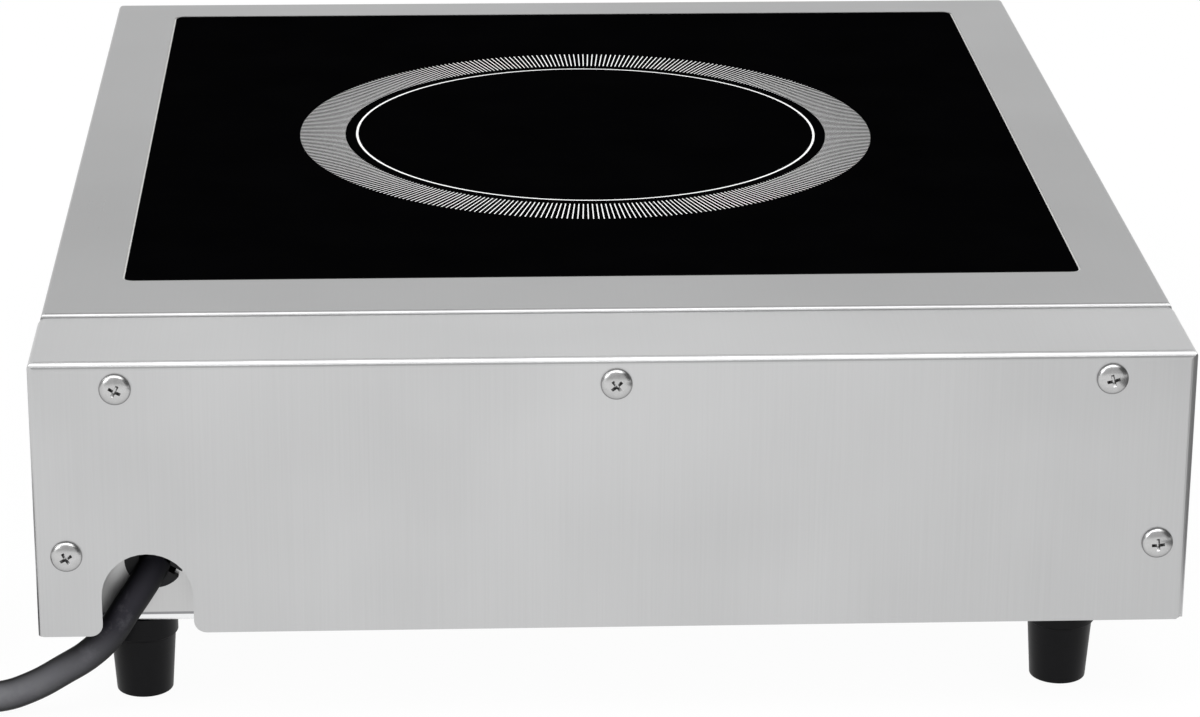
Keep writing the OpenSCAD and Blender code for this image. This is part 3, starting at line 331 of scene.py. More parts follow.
def grained(name, low, high, rough, scale=260, depth=0.00002, **sockets):
    """A finish with two tones of its colour and a fine unevenness in tone, gloss and surface."""
    finish = Finish(name)
    speck = finish.noise(scale, 4, 0.6)
    return finish.surface(
        Base_Color=finish.mix(speck, low, high),
        Roughness=rough - 0.05 + speck * 0.1,
        Normal=finish.bump(speck, depth),
        **sockets,
    )


dress(grained("moulded rubber", (0.018, 0.018, 0.020), (0.030, 0.030, 0.033), 0.48, 900,
              Specular_IOR_Level=0.35), plug_boot, plug_shell)
dress(grained("nickelled brass", (0.62, 0.58, 0.50), (0.74, 0.71, 0.64), 0.24, 400, Metallic=1.0),
      "plug_pins")

# the tie's strap has fine teeth across its width
strap = Finish("tie strap")
x, y = strap.xyz()[:2]
teeth = ((x * 0.94 - y * 0.34) * 4200).wave()
dress(strap.surface(
    Base_Color=strap.mix(teeth, (0.012, 0.012, 0.013), (0.028, 0.028, 0.030)),
    Roughness=0.42, Specular_IOR_Level=0.3,
    Normal=strap.bump(teeth, 0.00008),
), "cord_tie")

# ---- studio ----
# A white table before a white wall, with soft boxes over it. Grey cards stand round them for metal
# alone to reflect: they draw the dark lines beside the bends and round the screws' heads.
table_size, table_z = 8, -0.0002
shadow_share = 0.04
ambient = 0.78
aim = Vector((0, 0.05, 0.06))
bpy.ops.mesh.primitive_plane_add(size=table_size, location=(0, 0, table_z))
table = bpy.context.object
table.name = "table"


def seen_directly(tree):
    """1 for rays that show the background: the camera's, and those off metal and through glass."""
    path = tree.nodes.new("ShaderNodeLightPath")
    total = path.outputs["Is Camera Ray"]
    for ray in ("Is Glossy Ray", "Is Transmission Ray"):
        added = tree.nodes.new("ShaderNodeMath")
        added.operation = "MAXIMUM"
        tree.links.new(total, added.inputs[0])
        tree.links.new(path.outputs[ray], added.inputs[1])
        total = added.outputs[0]
    return total


def bare_material(name, shader, **sockets):
    """A material of one shader, and that shader."""
    material = bpy.data.materials.new(name)
    material.use_nodes = True
    material.node_tree.nodes.clear()
    made = material.node_tree.nodes.new(shader)
    for socket, value in sockets.items():
        made.inputs[socket].default_value = value
    result = material.node_tree.nodes.new("ShaderNodeOutputMaterial")
    material.node_tree.links.new(made.outputs[0], result.inputs["Surface"])
    return material, made, result


white, glow, result = bare_material("white table", "ShaderNodeEmission", Strength=1.0)
tree = white.node_tree
matt = tree.nodes.new("ShaderNodeBsdfDiffuse")
matt.inputs["Color"].default_value = (0.95, 0.95, 0.95, 1)
glow_share = tree.nodes.new("ShaderNodeMath")
glow_share.operation = "MULTIPLY"
glow_share.inputs[1].default_value = 1 - shadow_share
tree.links.new(seen_directly(tree), glow_share.inputs[0])
blend = tree.nodes.new("ShaderNodeMixShader")
tree.links.new(glow_share.outputs[0], blend.inputs[0])
tree.links.new(matt.outputs[0], blend.inputs[1])
tree.links.new(glow.outputs[0], blend.inputs[2])
tree.links.new(blend.outputs[0], result.inputs["Surface"])
table.data.materials.append(white)

world = bpy.data.worlds.new("white wall")
bpy.context.scene.world = world
world.use_nodes = True
tree = world.node_tree
level = tree.nodes.new("ShaderNodeMath")
level.operation = "MULTIPLY_ADD"
level.inputs[1].default_value = 1 - ambient
level.inputs[2].default_value = ambient
tree.links.new(seen_directly(tree), level.inputs[0])
tree.links.new(level.outputs[0], tree.nodes["Background"].inputs["Strength"])
tree.nodes["Background"].inputs["Color"].default_value = (1, 1, 1, 1)


def facing_the_part(thing, place):
    """Stands a lamp or a card at its place, turned to the middle of the hot plate."""
    thing.location = place
    thing.rotation_euler = (Vector(place) - aim).to_track_quat("Z", "Y").to_euler()


for name, place, size, watts in (
    ("top_box", (0.10, 0.50, 1.55), (1.8, 0.80), 13),
    ("side_box", (1.35, 0.95, 1.05), (0.7, 0.7), 7),
):
    bpy.ops.object.light_add(type="AREA")
    lamp = bpy.context.object
    lamp.name = name
    lamp.data.shape = "RECTANGLE"
    lamp.data.size, lamp.data.size_y = size
    lamp.data.energy = watts
    facing_the_part(lamp, place)

for name, place, size, grey in (
    ("card_low", (0, -2.50, 0.52), (6.0, 0.62), 0.80),
    ("card_far", (0, -1.42, 1.71), (5.0, 0.95), 0.42),
    ("card_near", (0, 2.17, 1.25), (5.0, 2.10), 0.55),
    ("card_right", (-1.75, 0.30, 0.85), (3.0, 1.60), 0.12),
    ("card_left", (1.85, -0.30, 0.70), (2.2, 1.20), 0.35),
    ("card_floor", (-0.62, 0.15, 0.001), (0.72, 1.00), 0.25),
):
    bpy.ops.mesh.primitive_plane_add(size=1)
    card = bpy.context.object
    card.name = name
    card.scale = (*size, 1)
    facing_the_part(card, place)
    if name == "card_floor":
        card.rotation_euler = (0, 0, 0)  # it lies on the table
    card.visible_camera = card.visible_diffuse = False
    card.visible_transmission = card.visible_shadow = False
    card.data.materials.append(bare_material(name, "ShaderNodeEmission", Strength=grey)[0])
bpy.ops.object.select_all(action="DESELECT")

# ---- case: housing, rear cover, control panel ----
# Folded from stainless sheet with a fine one-way grain: back to front over the top and along the
# sides, upright on the rear cover and up the slope. Rolling has left it a little cloudy.
case_side_x = 0.1676


def brushed(name, low, high, rough, side_x=1.0):
    """Brushed stainless sheet. Beyond side_x, on the case's sides, the grain turns level."""
    finish = Finish(name)
    fine, long = 1900, 20  # waves per metre across the grain and along it
    upright = finish.noise((fine, long, long), 3, 0.62)
    level = finish.noise((long, long, fine), 3, 0.62)
    grain = upright + (level - upright) * (finish.xyz()[0].of("ABSOLUTE") > side_x)
    cloud = (finish.noise(7, 3, 0.5) - 0.5) * 2.2 + 0.5
    return finish.surface(
        Base_Color=finish.mix(grain * 0.3 + cloud * 0.7, low, high),
        Metallic=1.0,
        Roughness=rough + (grain - 0.5) * 0.07 + (cloud - 0.5) * 0.05,
        Normal=finish.bump(grain, 0.0000022),
    )


dress(brushed("top sheet", (0.345, 0.346, 0.348), (0.475, 0.477, 0.48), 0.31, case_side_x),
      "housing")
# painted light: the rear cover's sheet is coloured lighter than the housing's, though both are the
# same steel
dress(brushed("rear sheet", (0.475, 0.477, 0.48), (0.655, 0.657, 0.66), 0.31), "rear_cover")
dress(brushed("panel sheet", (0.395, 0.397, 0.40), (0.555, 0.557, 0.56), 0.30), "front_panel")

# ---- base, crossbar, glass frame, coil bridge, posts ----
# The sheet parts are punched and bent, and the posts are turned. The base shows the lines of its
# rolling, a painted highlight along the bend at its rear with a painted dark line above it, and the
# others are dull and faintly spangled.
zinc = Finish("zinc sheet")
crystals = zinc.node("ShaderNodeTexVoronoi", zinc.place, sockets={"Scale": 160.0}, out="Color")
spangle = zinc.xyz(crystals)[0]
cloud = zinc.noise(40, 3)
dress(zinc.surface(
    Base_Color=zinc.mix(spangle * 0.5 + cloud * 0.5, (0.44, 0.45, 0.46), (0.56, 0.57, 0.58)),
    Metallic=1.0,
    Roughness=0.34 + spangle * 0.12,
), "rear_crossbar", "glass_frame", "coil_bridge", "control_posts")

bend_top_z, bend_shade_z, bend_from_y = 0.0284, 0.0288, 0.200  # of the painted highlight on the bend at the rear and the painted dark line above it, in metres
base_steel = Finish("base sheet")
y, z = base_steel.xyz()[1:]
cloud = base_steel.noise(30, 3)
lines = base_steel.noise((1800, 25, 25), 3, 0.6)
# painted highlight: the bend at the rear of the base is coloured near white
painted_bend_highlight = (z < bend_top_z) * (y > bend_from_y)
flat = base_steel.mix(cloud * 0.4 + lines * 0.6, (0.525, 0.525, 0.525), (0.625, 0.625, 0.625))
with_bend_highlight = base_steel.mix(painted_bend_highlight, flat, (0.94, 0.945, 0.95))
# painted shade: a thin dark line runs just above the bend's painted highlight
dress(base_steel.surface(
    Base_Color=base_steel.mix(z.near(bend_shade_z, 0.0004), with_bend_highlight, (0.30, 0.30, 0.31)),
    Metallic=1.0,
    Roughness=0.30 + cloud * 0.14,
    Normal=base_steel.bump(lines, 0.000003),
), "base_tray")

# ---- feet ----
# Moulded rubber stoppers with a wider collar, screwed on from below. A faint line marks where the
# mould parted, and the skin has a soft sheen.
parting_z, parting_w = 0.0130, 0.0002
foot_rubber = Finish("foot rubber")
parting = foot_rubber.xyz()[2].near(parting_z, parting_w)
dust = foot_rubber.noise(260, 4, 0.65)
dress(foot_rubber.surface(
    Base_Color=foot_rubber.mix(dust, (0.0028, 0.0028, 0.0034), (0.0066, 0.0066, 0.0078)),
    Roughness=0.34 + dust * 0.12,
    Specular_IOR_Level=0.12,
    Normal=foot_rubber.bump(foot_rubber.noise(1400, 2) * 0.25 - parting, 0.00005),
), "foot_rear_left", "foot_rear_right", "foot_front_left", "foot_front_right")

# ---- case screws ----
# Domed cross-head screws: five hold the rear cover, six hold the case to the base. Each stopped at
# its own angle. They are turned, with a recess of two tapered wings.
screw_head_d, screw_head_h = 9.3, 2.4
screw_shank_d, screw_length, tip_step = 4, 8, 0.5
rim_h, dome_steps = 0.5, 9
wing_foot_r, wing_top_r, wing_depth, wing_share = 1.3, 3.4, 2, 0.24
wing_z = screw_head_h - 0.55
rear_face_y, side_face_x = 218.8, 169.2
side_screw_z = 37.15

begin("screw")
profile = [(screw_shank_d / 2 - tip_step, -screw_length), (screw_shank_d / 2, -screw_length + 0.8),
           (screw_shank_d / 2, 0), (screw_head_d / 2, 0.001), (screw_head_d / 2, rim_h)]
for i in range(1, dome_steps):
    lean = math.pi / 2 * i / dome_steps
    profile.append((screw_head_d / 2 * math.cos(lean),
                    rim_h + (screw_head_h - rim_h) * math.sin(lean)))
turned_solid(profile + [(0.4, screw_head_h)], 48)
bpy.ops.mesh.select_all(action="SELECT")
bpy.ops.mesh.normals_make_consistent(inside=False)
bpy.ops.object.mode_set(mode="OBJECT")
screw = bpy.context.object
for turn in (0, 90):
    begin("wing")
    bpy.ops.mesh.primitive_cone_add(
        vertices=4, radius1=wing_foot_r * MM, radius2=wing_top_r * MM, depth=wing_depth * MM,
        location=(0, 0, wing_z * MM), rotation=(0, 0, math.pi / 4))
    bpy.ops.transform.resize(value=(1, wing_share, 1), center_override=(0, 0, 0))
    settle(Matrix.Rotation(math.radians(turn), 4, "Z"))
    bpy.ops.object.mode_set(mode="OBJECT")
    wing = bpy.context.object
    bpy.context.view_layer.objects.active = screw
    cut = screw.modifiers.new("recess", "BOOLEAN")
    cut.operation, cut.solver, cut.object = "DIFFERENCE", "EXACT", wing
    bpy.ops.object.modifier_apply(modifier=cut.name)
    bpy.data.objects.remove(wing)

screw_steel = Finish("screw steel")
shade = screw_steel.noise(600, 3, 0.6)
# painted shade: each screw head darkens towards its rim
turned_away = screw_steel.node("ShaderNodeLayerWeight", 0.42, out="Facing")
bright = screw_steel.mix(shade, (0.50, 0.50, 0.50), (0.66, 0.66, 0.66))
screw_finish = screw_steel.surface(
    Base_Color=screw_steel.mix(turned_away * 1.5 - 0.12, bright, (0.22, 0.22, 0.22)),
    Metallic=1.0,
    Roughness=0.20 + shade * 0.10,
    Normal=screw_steel.bump(shade, 0.000004),
)


def screwed(name, node, spots):
    """Copies of the screw at (place, direction of its head, turn), joined into one piece."""
    copies = []
    for place, facing, turn in spots:
        bpy.ops.object.select_all(action="DESELECT")
        screw.select_set(True)
        bpy.context.view_layer.objects.active = screw
        bpy.ops.object.duplicate()
        copy = bpy.context.object
        copy.matrix_world = (
            Matrix.Translation(Vector(place) * MM)
            @ Vector(facing).to_track_quat("Z", "Y").to_matrix().to_4x4()
            @ Matrix.Rotation(math.radians(turn), 4, "Z"))
        copies.append(copy)
    for copy in copies:
        copy.select_set(True)
    bpy.ops.object.join()
    bpy.context.object.name = bpy.context.object.data.name = name
    bpy.ops.object.transform_apply(location=True, rotation=True, scale=True)
    bpy.ops.object.mode_set(mode="EDIT")
    piece = end("screw_steel", 28)
    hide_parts(node)
    dress(screw_finish, piece)


screwed("rear_case_screws", "rear_screws", [
    ((x, rear_face_y, z), (0, 1, 0), turn) for x, z, turn in (
        (-144.8, 106.1, 15), (0, 106.1, 40), (144.8, 106.1, 62),
        (-160.7, 54.2, 5), (160.7, 54.2, 30))])
screwed("side_case_screws", "side_screws", [
    ((side * side_face_x, y, side_screw_z), (side, 0, 0), turn)
    for side in (-1, 1) for y, turn in ((-171.2, 20), (0, 55), (152.8, 90))])
bpy.data.objects.remove(screw)

# the plated screws inside the case and under the feet
dress(grained("plated screws", (0.52, 0.53, 0.54), (0.66, 0.66, 0.66), 0.30, 500, Metallic=1.0),
      "foot_screws", "coil_bolts", "board_screws", "fan_screws")

# ---- cooking glass ----
# Black glass-ceramic in a pale silicone bed. Two prints lie on it: a thin line, and round that a
# crown of fine strokes one degree apart, which mark the pan's place.
print_x, print_y = -0.95, -6.4
glass_top = 115
ink_thick, ink_gap = 0.02, 0.003
ink_z = glass_top + ink_gap + ink_thick / 2
line_r, line_w = 78.0, 0.76
strokes, stroke_from, stroke_to, stroke_w = 360, 82.0, 97.4, 0.35

ceramic = Finish("glass ceramic")
turned_away = ceramic.node("ShaderNodeLayerWeight", 0.5, out="Facing")
murk = ceramic.noise(35, 3, 0.5)
dress(ceramic.surface(
    Base_Color=ceramic.mix(murk, (0.0006, 0.0006, 0.0007), (0.0014, 0.0014, 0.0016)),
    Roughness=0.05 + murk * 0.03,
    Specular_IOR_Level=0.0,
    Coat_Weight=(1.0 - turned_away * 2.4).of("MAXIMUM", 0.0) * 0.9,
    Coat_Roughness=0.03,
), "glass_plate")
dress(grained("pale silicone", (0.50, 0.50, 0.49), (0.62, 0.62, 0.60), 0.5, 700), "glass_seal")


def hoop(x, y, z, radius, width, thick, sides=48):
    """A closed ring in millimetres."""
    bpy.ops.mesh.select_all(action="DESELECT")
    bpy.ops.mesh.primitive_torus_add(
        location=(x * MM, y * MM, z * MM), major_segments=sides, minor_segments=4,
        major_radius=radius * MM, minor_radius=width / 2 * MM)
    bpy.ops.transform.resize(value=(1, 1, thick / width), center_override=(x * MM, y * MM, z * MM))


begin("print_line")
hoop(print_x, print_y, ink_z, line_r, line_w, ink_thick, 256)
print_line = end("hob_glass")

begin("print_strokes")
bar(print_x + (stroke_from + stroke_to) / 2, print_y, ink_z,
    stroke_to - stroke_from, stroke_w, ink_thick)
bpy.ops.mesh.spin(steps=strokes - 1, dupli=True, angle=math.radians(360 / strokes * (strokes - 1)),
                  center=(print_x * MM, print_y * MM, ink_z * MM), axis=(0, 0, 1))
print_strokes = end("hob_glass")

ink = Finish("fired ink")
patchy = ink.noise(1500, 3, 0.6)
dress(ink.surface(
    Base_Color=ink.mix(patchy, (0.84, 0.84, 0.84), (0.93, 0.93, 0.93)),
    Roughness=0.45 + patchy * 0.2,
    Specular_IOR_Level=0.2,
), print_line, print_strokes)

# ---- heating coil ----
# Enamelled litz wire lies in a spiral on a moulded carrier, with ferrite bars below it and a mica
# sheet above. Springs on four bolts press it up to the glass, and a sensor stands in its middle.
winding_y = -0.00635


def distance(x, y):
    """How far the place lies from the axis that x and y start at."""
    return (x * x + y * y) ** 0.5


litz = Finish("litz winding")
off_x, y = litz.xyz()[:2]
off_y = y - winding_y
angle = off_y.of("ARCTAN2", off_x)
twist = (angle * 240 + distance(off_x, off_y) * 2600).wave()
tarnish = litz.noise(80, 3)
dress(litz.surface(
    Base_Color=litz.mix(twist * 0.6 + tarnish * 0.4, (0.36, 0.11, 0.045), (0.68, 0.27, 0.12)),
    Metallic=0.85,
    Roughness=0.30 + twist * 0.16,
    Normal=litz.bump(twist, 0.0001),
), "coil_winding")
dress(grained("carrier plastic", (0.30, 0.30, 0.29), (0.38, 0.38, 0.37), 0.5, 420), "coil_carrier")
dress(grained("ferrite", (0.035, 0.034, 0.036), (0.075, 0.072, 0.075), 0.55, 1600, 0.00006),
      "ferrite_bars")
dress(grained("mica", (0.42, 0.36, 0.27), (0.62, 0.55, 0.44), 0.34, 70, 0.00003), "mica_sheet")
dress(grained("spring steel", (0.38, 0.38, 0.40), (0.56, 0.56, 0.58), 0.27, 900, Metallic=1.0),
      "coil_springs", "sensor_spring")
dress(grained("sensor ceramic", (0.72, 0.70, 0.66), (0.82, 0.81, 0.78), 0.42, 800), "pan_sensor")

# ---- power electronics ----
# The power board stands on brass posts over the base. Its parts are a finned heat sink with the
# switching transistors against it, rectifier, capacitors, choke, transformer, fuse and terminals.


def circuit(name, low, high, fraction):
    """A printed board: solder resist over square-cornered tracks, with tinned pads in a grid."""
    finish = Finish(name)
    x, y = finish.xyz()[:2]
    cells = finish.node("ShaderNodeTexVoronoi", finish.place, sockets={"Scale": 110.0},
                        distance="CHEBYCHEV", feature="F1", out="Distance")
    tracks = (cells * 6).of("FRACT") > fraction
    pads = (x * 780).of("SINE") * (y * 780).of("SINE") > 0.93
    cloud = finish.noise(120, 3)
    resist = finish.mix(tracks * 0.7 + cloud * 0.3, low, high)
    return finish.surface(
        Base_Color=finish.mix(pads, resist, (0.62, 0.62, 0.60)),
        Roughness=0.34 + cloud * 0.14,
        Normal=finish.bump(tracks + pads, 0.00004),
    )


dress(circuit("power circuit", (0.010, 0.075, 0.030), (0.025, 0.150, 0.060), 0.5), "power_board")
dress(grained("brass", (0.50, 0.36, 0.13), (0.66, 0.50, 0.22), 0.28, 600, Metallic=1.0),
      "board_standoffs")

drawn = Finish("drawn aluminium")
lines = drawn.noise((2200, 25, 2200), 3, 0.6)
dress(drawn.surface(
    Base_Color=drawn.mix(lines, (0.50, 0.51, 0.53), (0.66, 0.67, 0.69)),
    Metallic=1.0,
    Roughness=0.30 + lines * 0.14,
    Normal=drawn.bump(lines, 0.000012),
), "heat_sink")

# moulded packages on tinned legs
for name, node, leg_top in (("transistor package", "power_transistors", 0.0405),
                            ("rectifier package", "bridge_rectifier", 0.0400)):
    package = Finish(name)
    grit = package.noise(1800, 3)
    moulded = package.mix(grit, (0.012, 0.012, 0.013), (0.032, 0.032, 0.034))
    legs = package.xyz()[2] < leg_top
    dress(package.surface(
        Base_Color=package.mix(legs, moulded, (0.60, 0.60, 0.58)),
        Metallic=legs * 0.9,
        Roughness=0.5 - legs * 0.2,
        Normal=package.bump(grit, 0.00003),
    ), node)

# a box of yellow plastic, filled with resin up to a line near its top
film = Finish("film capacitor")
resin_line_z = 0.0575
resin_line = film.xyz()[2].near(resin_line_z, 0.0004)
tint = film.noise(150, 3)
yellow = film.mix(tint, (0.50, 0.44, 0.08), (0.62, 0.55, 0.13))
dress(film.surface(
    Base_Color=film.mix(resin_line, yellow, (0.20, 0.17, 0.05)),
    Roughness=0.36 + tint * 0.12,
    Normal=film.bump(tint - resin_line * 0.5, 0.00006),
), "film_capacitors")

# enamelled wire, wound round a ring
choke = Finish("wound choke")
choke_x, choke_y, choke_wires = -0.109, 0.1368, 44
x, y = choke.xyz()[:2]
around = (y - choke_y).of("ARCTAN2", x - choke_x)
wire = (around * choke_wires).wave()
dress(choke.surface(
    Base_Color=choke.mix(wire, (0.22, 0.07, 0.025), (0.66, 0.27, 0.11)),
    Metallic=0.8,
    Roughness=0.26 + wire * 0.12,
    Normal=choke.bump(wire, 0.0005),
), "filter_choke")

# stacked iron plates, with a taped winding between them
iron = Finish("transformer")
tape_z, tape_half = 0.0486, 0.0065
x, _, z = iron.xyz()
taped = z.near(tape_z, tape_half)
plates = (x * 6400).wave()
plate_iron = iron.mix(plates, (0.09, 0.085, 0.08), (0.22, 0.21, 0.20))
tape = iron.mix(iron.noise(300, 3), (0.62, 0.44, 0.08), (0.74, 0.55, 0.14))
dress(iron.surface(
    Base_Color=iron.mix(taped, plate_iron, tape),
    Metallic=(1.0 - taped) * 0.6,
    Roughness=0.42 - taped * 0.1,
    Normal=iron.bump(plates * (1.0 - taped), 0.0001),
), "aux_transformer")

# a glass tube with a wire along its middle, between two metal caps
fuse = Finish("fuse")
fuse_x, fuse_y, fuse_z, tube_half, wire_half = 0.057, 0.0688, 0.0412, 0.0092, 0.0006
x, y, z = fuse.xyz()
caps = 1.0 - y.near(fuse_y, tube_half)
thread = z.near(fuse_z, wire_half) * x.near(fuse_x, wire_half)
smoke = fuse.noise(500, 3)
tube = fuse.mix(thread, (0.62, 0.64, 0.63), (0.20, 0.18, 0.15))
tin = fuse.mix(smoke, (0.55, 0.54, 0.51), (0.70, 0.69, 0.66))
dress(fuse.surface(
    Base_Color=fuse.mix(caps, tube, tin),
    Metallic=caps,
    Roughness=0.10 + caps * 0.2 + smoke * 0.05,
), "line_fuse")
dress(grained("terminal plastic", (0.64, 0.62, 0.55), (0.74, 0.72, 0.66), 0.44, 500),
      "terminal_block")
dress(grained("inner lead", (0.024, 0.024, 0.026), (0.045, 0.045, 0.049), 0.46, 800), "inlet_lead")

# the bushing grips the lead in the base's rear wall, and is split so that it can close
dress(grained("bushing nylon", (0.0075, 0.0075, 0.0085), (0.016, 0.016, 0.018), 0.40, 700,
              Specular_IOR_Level=0.2), "strain_relief")

# ---- fans ----
# Two square fans are screwed to the base, over its slots, and draw air in from below. Frames and
# rotors are moulded from black plastic, and a paler ring runs round each rotor's hub.
fan_y = -0.0352
hub_ring_r, hub_ring_half = 0.0135, 0.0007
dress(grained("fan frame", (0.012, 0.012, 0.013), (0.026, 0.026, 0.028), 0.46, 900, 0.00004),
      "fan_frame_left", "fan_frame_right")
for node, fan_x in (("fan_rotor_left", 0.055), ("fan_rotor_right", -0.055)):
    blades = Finish(node + " plastic")
    x, y = blades.xyz()[:2]
    hub_ring = distance(x - fan_x, y - fan_y).near(hub_ring_r, hub_ring_half)
    flow = blades.noise(900, 3)
    black = blades.mix(flow, (0.014, 0.014, 0.016), (0.030, 0.030, 0.033))
    dress(blades.surface(
        Base_Color=blades.mix(hub_ring, black, (0.16, 0.16, 0.17)),
        Roughness=0.38 + flow * 0.12,
        Normal=blades.bump(flow, 0.00002),
    ), node)

# ---- control panel ----
# A dark film lies on the slope, with pale marks for the three keys and a window for the figures.
# Marks and scale are printed a hair above the sheet they lie on.
slope_y, slope_z, slope_lean = -199.0, 83.25, math.radians(54.35)
slope = Matrix.Translation(Vector((0, slope_y, slope_z)) * MM) @ Matrix.Rotation(slope_lean, 4, "X")
film_top = 0.52
film_x, film_w, film_h = -30, 200, 52
window_x, window_w, window_h = -20, 70, 26
frame_outer, frame_inner = 1.7, 2.2  # of the printed frame, in from the film's edge
key_xs, key_y = (-110, -84, 44), -6
mark_thick, mark_gap = 0.02, 0.003
mark_z = film_top + mark_gap + mark_thick / 2
mark_y = -19.2


def on_slope(finish):
    """The place on the sloping panel, across and up, in metres."""
    x, y, z = finish.xyz()
    up = (y - slope_y * MM) * math.cos(slope_lean) + (z - slope_z * MM) * math.sin(slope_lean)
    return x, up


def boxed(across, up, middle_x, width, height):
    """1 inside a box in the slope's middle row, 0 outside, for sizes in millimetres."""
    return across.near(middle_x * MM, width / 2 * MM) * up.near(0, height / 2 * MM)


overlay = Finish("panel film")
across, up = on_slope(overlay)
window = boxed(across, up, window_x, window_w, window_h)
inner = boxed(across, up, film_x, film_w - 2 * frame_inner, film_h - 2 * frame_inner)
outer = boxed(across, up, film_x, film_w - 2 * frame_outer, film_h - 2 * frame_outer)
tooth = overlay.noise(2400, 3, 0.6)
ground = overlay.mix(tooth, (0.020, 0.021, 0.024), (0.030, 0.031, 0.035))
glazed = overlay.mix(window, ground, (0.006, 0.004, 0.005))
dress(overlay.surface(
    Base_Color=overlay.mix((1.0 - inner) * outer, glazed, (0.30, 0.31, 0.33)),
    Roughness=0.42 - window * 0.30 + tooth * 0.06,
    Normal=overlay.bump(tooth * (1.0 - window), 0.00001),
), "control_overlay")

power_x, mode_x, timer_x = key_xs
begin("panel_marks")
# on and off: a ring with a bar through its top
ring_r, ring_w, bar_w, bar_h = 2.5, 0.55, 0.6, 2.6
hoop(power_x, mark_y, mark_z, ring_r, ring_w, mark_thick)
bar(power_x, mark_y + 2.2, mark_z + 0.001, bar_w, bar_h, mark_thick)
# kind of heating: three bars that grow
heat_w, heat_pitch, heat_h, heat_growth = 1.2, 2.2, 1.6, 1.5
for i in range(3):
    tall = heat_h + i * heat_growth
    bar(mode_x + (i - 1) * heat_pitch, mark_y - 2.3 + tall / 2, mark_z, heat_w, tall, mark_thick)
# time: a clock face with two hands
clock_r, clock_w, hand_w, long_hand, short_hand = 2.7, 0.5, 0.45, 1.7, 1.3
hoop(timer_x, mark_y, mark_z, clock_r, clock_w, mark_thick)
bar(timer_x, mark_y + long_hand / 2, mark_z, hand_w, long_hand, mark_thick)
bar(timer_x + short_hand / 2, mark_y, mark_z, short_hand, hand_w, mark_thick)
# a fine ring round each key, and a thin frame round the window
key_ring_r, key_ring_w = 7.4, 0.35
frame_gap, frame_w = 1, 0.4
for key_x in key_xs:
    hoop(key_x, key_y, mark_z, key_ring_r, key_ring_w, mark_thick, 64)
for side in (-1, 1):
    bar(window_x, side * (window_h / 2 + frame_gap), mark_z,
        window_w + 2 * frame_gap + frame_w, frame_w, mark_thick)
    bar(window_x + side * (window_w / 2 + frame_gap), 0, mark_z,
        frame_w, window_h + 2 * frame_gap - frame_w, mark_thick)
settle(slope)
panel_marks = end("overlay")

# four figures of seven strokes each, with a colon between the pairs
figure_w, figure_h, stroke = 7.5, 13, 1.3
colon_y, dot = 2.6, 1.5
begin("window_figures")
for figure_x in (-42, -29.5, -10.5, 2):
    for row in (-1, 0, 1):
        bar(figure_x, row * figure_h / 2, mark_z, figure_w - stroke, stroke, mark_thick)
    for side in (-1, 1):
        for row in (-1, 1):
            bar(figure_x + side * figure_w / 2, row * figure_h / 4, mark_z,
                stroke, figure_h / 2 - stroke, mark_thick)
for row in (-1, 1):
    bar(window_x, row * colon_y, mark_z, dot, dot, mark_thick)
settle(slope)
window_figures = end("display")

# the knob's scale: eleven strokes that lengthen clockwise
knob_x, knob_y, knob_r = 112, 6, 17
scale_z = mark_gap + mark_thick / 2
scale_strokes, scale_start, scale_step = 11, 225, 27
scale_gap, scale_w, shortest, scale_growth = 1.8, 0.6, 1.4, 0.14
begin("knob_scale")
for i in range(scale_strokes):
    lean = math.radians(scale_start - scale_step * i)
    length = shortest + scale_growth * i
    reach = knob_r + scale_gap + length / 2
    bar(knob_x + reach * math.cos(lean), knob_y + reach * math.sin(lean), scale_z,
        length, scale_w, mark_thick, math.degrees(lean))
settle(slope)
knob_scale = end("overlay")

dress(grained("pale print", (0.56, 0.57, 0.58), (0.70, 0.70, 0.71), 0.5, 1500), panel_marks)
dress(grained("dark print", (0.020, 0.020, 0.022), (0.045, 0.045, 0.048), 0.5, 1500), knob_scale)
dress(grained("unlit figures", (0.055, 0.010, 0.009), (0.085, 0.016, 0.013), 0.30, 1500),
      window_figures)

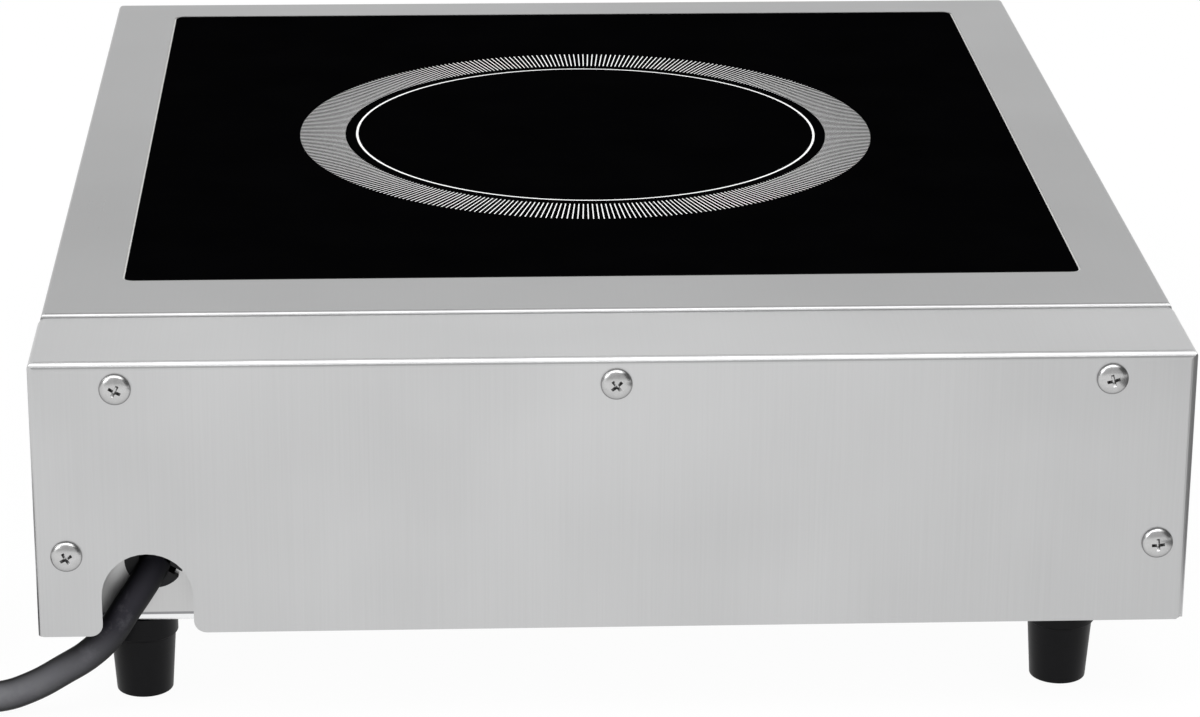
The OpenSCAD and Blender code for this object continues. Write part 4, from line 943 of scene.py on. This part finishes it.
dress(grained("display housing", (0.030, 0.006, 0.006), (0.060, 0.012, 0.011), 0.22, 700),
      "display_module")
dress(circuit("control circuit", (0.012, 0.030, 0.110), (0.030, 0.065, 0.190), 0.55),
      "control_board")
dress(grained("switch plastic", (0.020, 0.020, 0.022), (0.050, 0.050, 0.054), 0.45, 1200),
      "tact_switches")

# lamps of clear red plastic, brighter in their middle
lamp_red = Finish("lamp lens")
turned_away = lamp_red.node("ShaderNodeLayerWeight", 0.4, out="Facing")
dress(lamp_red.surface(
    Base_Color=lamp_red.mix(turned_away, (0.55, 0.030, 0.020), (0.22, 0.008, 0.006)),
    Roughness=0.14 + lamp_red.noise(1800, 2) * 0.06,
), "indicator_lenses")
dress(grained("encoder case", (0.50, 0.50, 0.51), (0.64, 0.64, 0.65), 0.30, 700, Metallic=1.0),
      "encoder_body", "encoder_shaft")

# ---- keys and knob ----
# The three keys are turned from bright metal, with fine rings on their faces. The knob is moulded,
# fluted round its grip, and its pointer groove is filled with pale paint.
for node, key_x in zip(("power_button", "mode_button", "timer_button"), key_xs):
    key = Finish(node + " metal")
    across, up = on_slope(key)
    rings = (distance(across - key_x * MM, up - key_y * MM) * 21000).wave()
    dress(key.surface(
        Base_Color=key.mix(rings, (0.58, 0.58, 0.59), (0.70, 0.70, 0.71)),
        Metallic=1.0,
        Roughness=0.24 + rings * 0.08,
        Normal=key.bump(rings, 0.000006),
    ), node)

knob_skin = Finish("knob plastic")
across, up = on_slope(knob_skin)
rings = (distance(across - knob_x * MM, up - knob_y * MM) * 15000).wave()
skin = knob_skin.noise(1500, 3)
dress(knob_skin.surface(
    Base_Color=knob_skin.mix(skin, (0.014, 0.014, 0.015), (0.028, 0.028, 0.030)),
    Roughness=0.36 + rings * 0.08,
    Normal=knob_skin.bump(rings * 0.3 + skin * 0.4, 0.00002),
), "control_knob")

pointer_w, pointer_length, paint_thick = 1.42, 6.9, 0.04
pointer_inset, groove_floor_z = 5.5, 13.43
begin("knob_pointer")
bar(0, knob_r - pointer_inset, groove_floor_z, pointer_w, pointer_length, paint_thick)
settle(slope @ Matrix.Translation(Vector((knob_x, knob_y, 0)) * MM))
knob_pointer = end("knob_plastic", body="knob")
dress(grained("pointer paint", (0.62, 0.62, 0.60), (0.74, 0.74, 0.72), 0.46, 1500), knob_pointer)
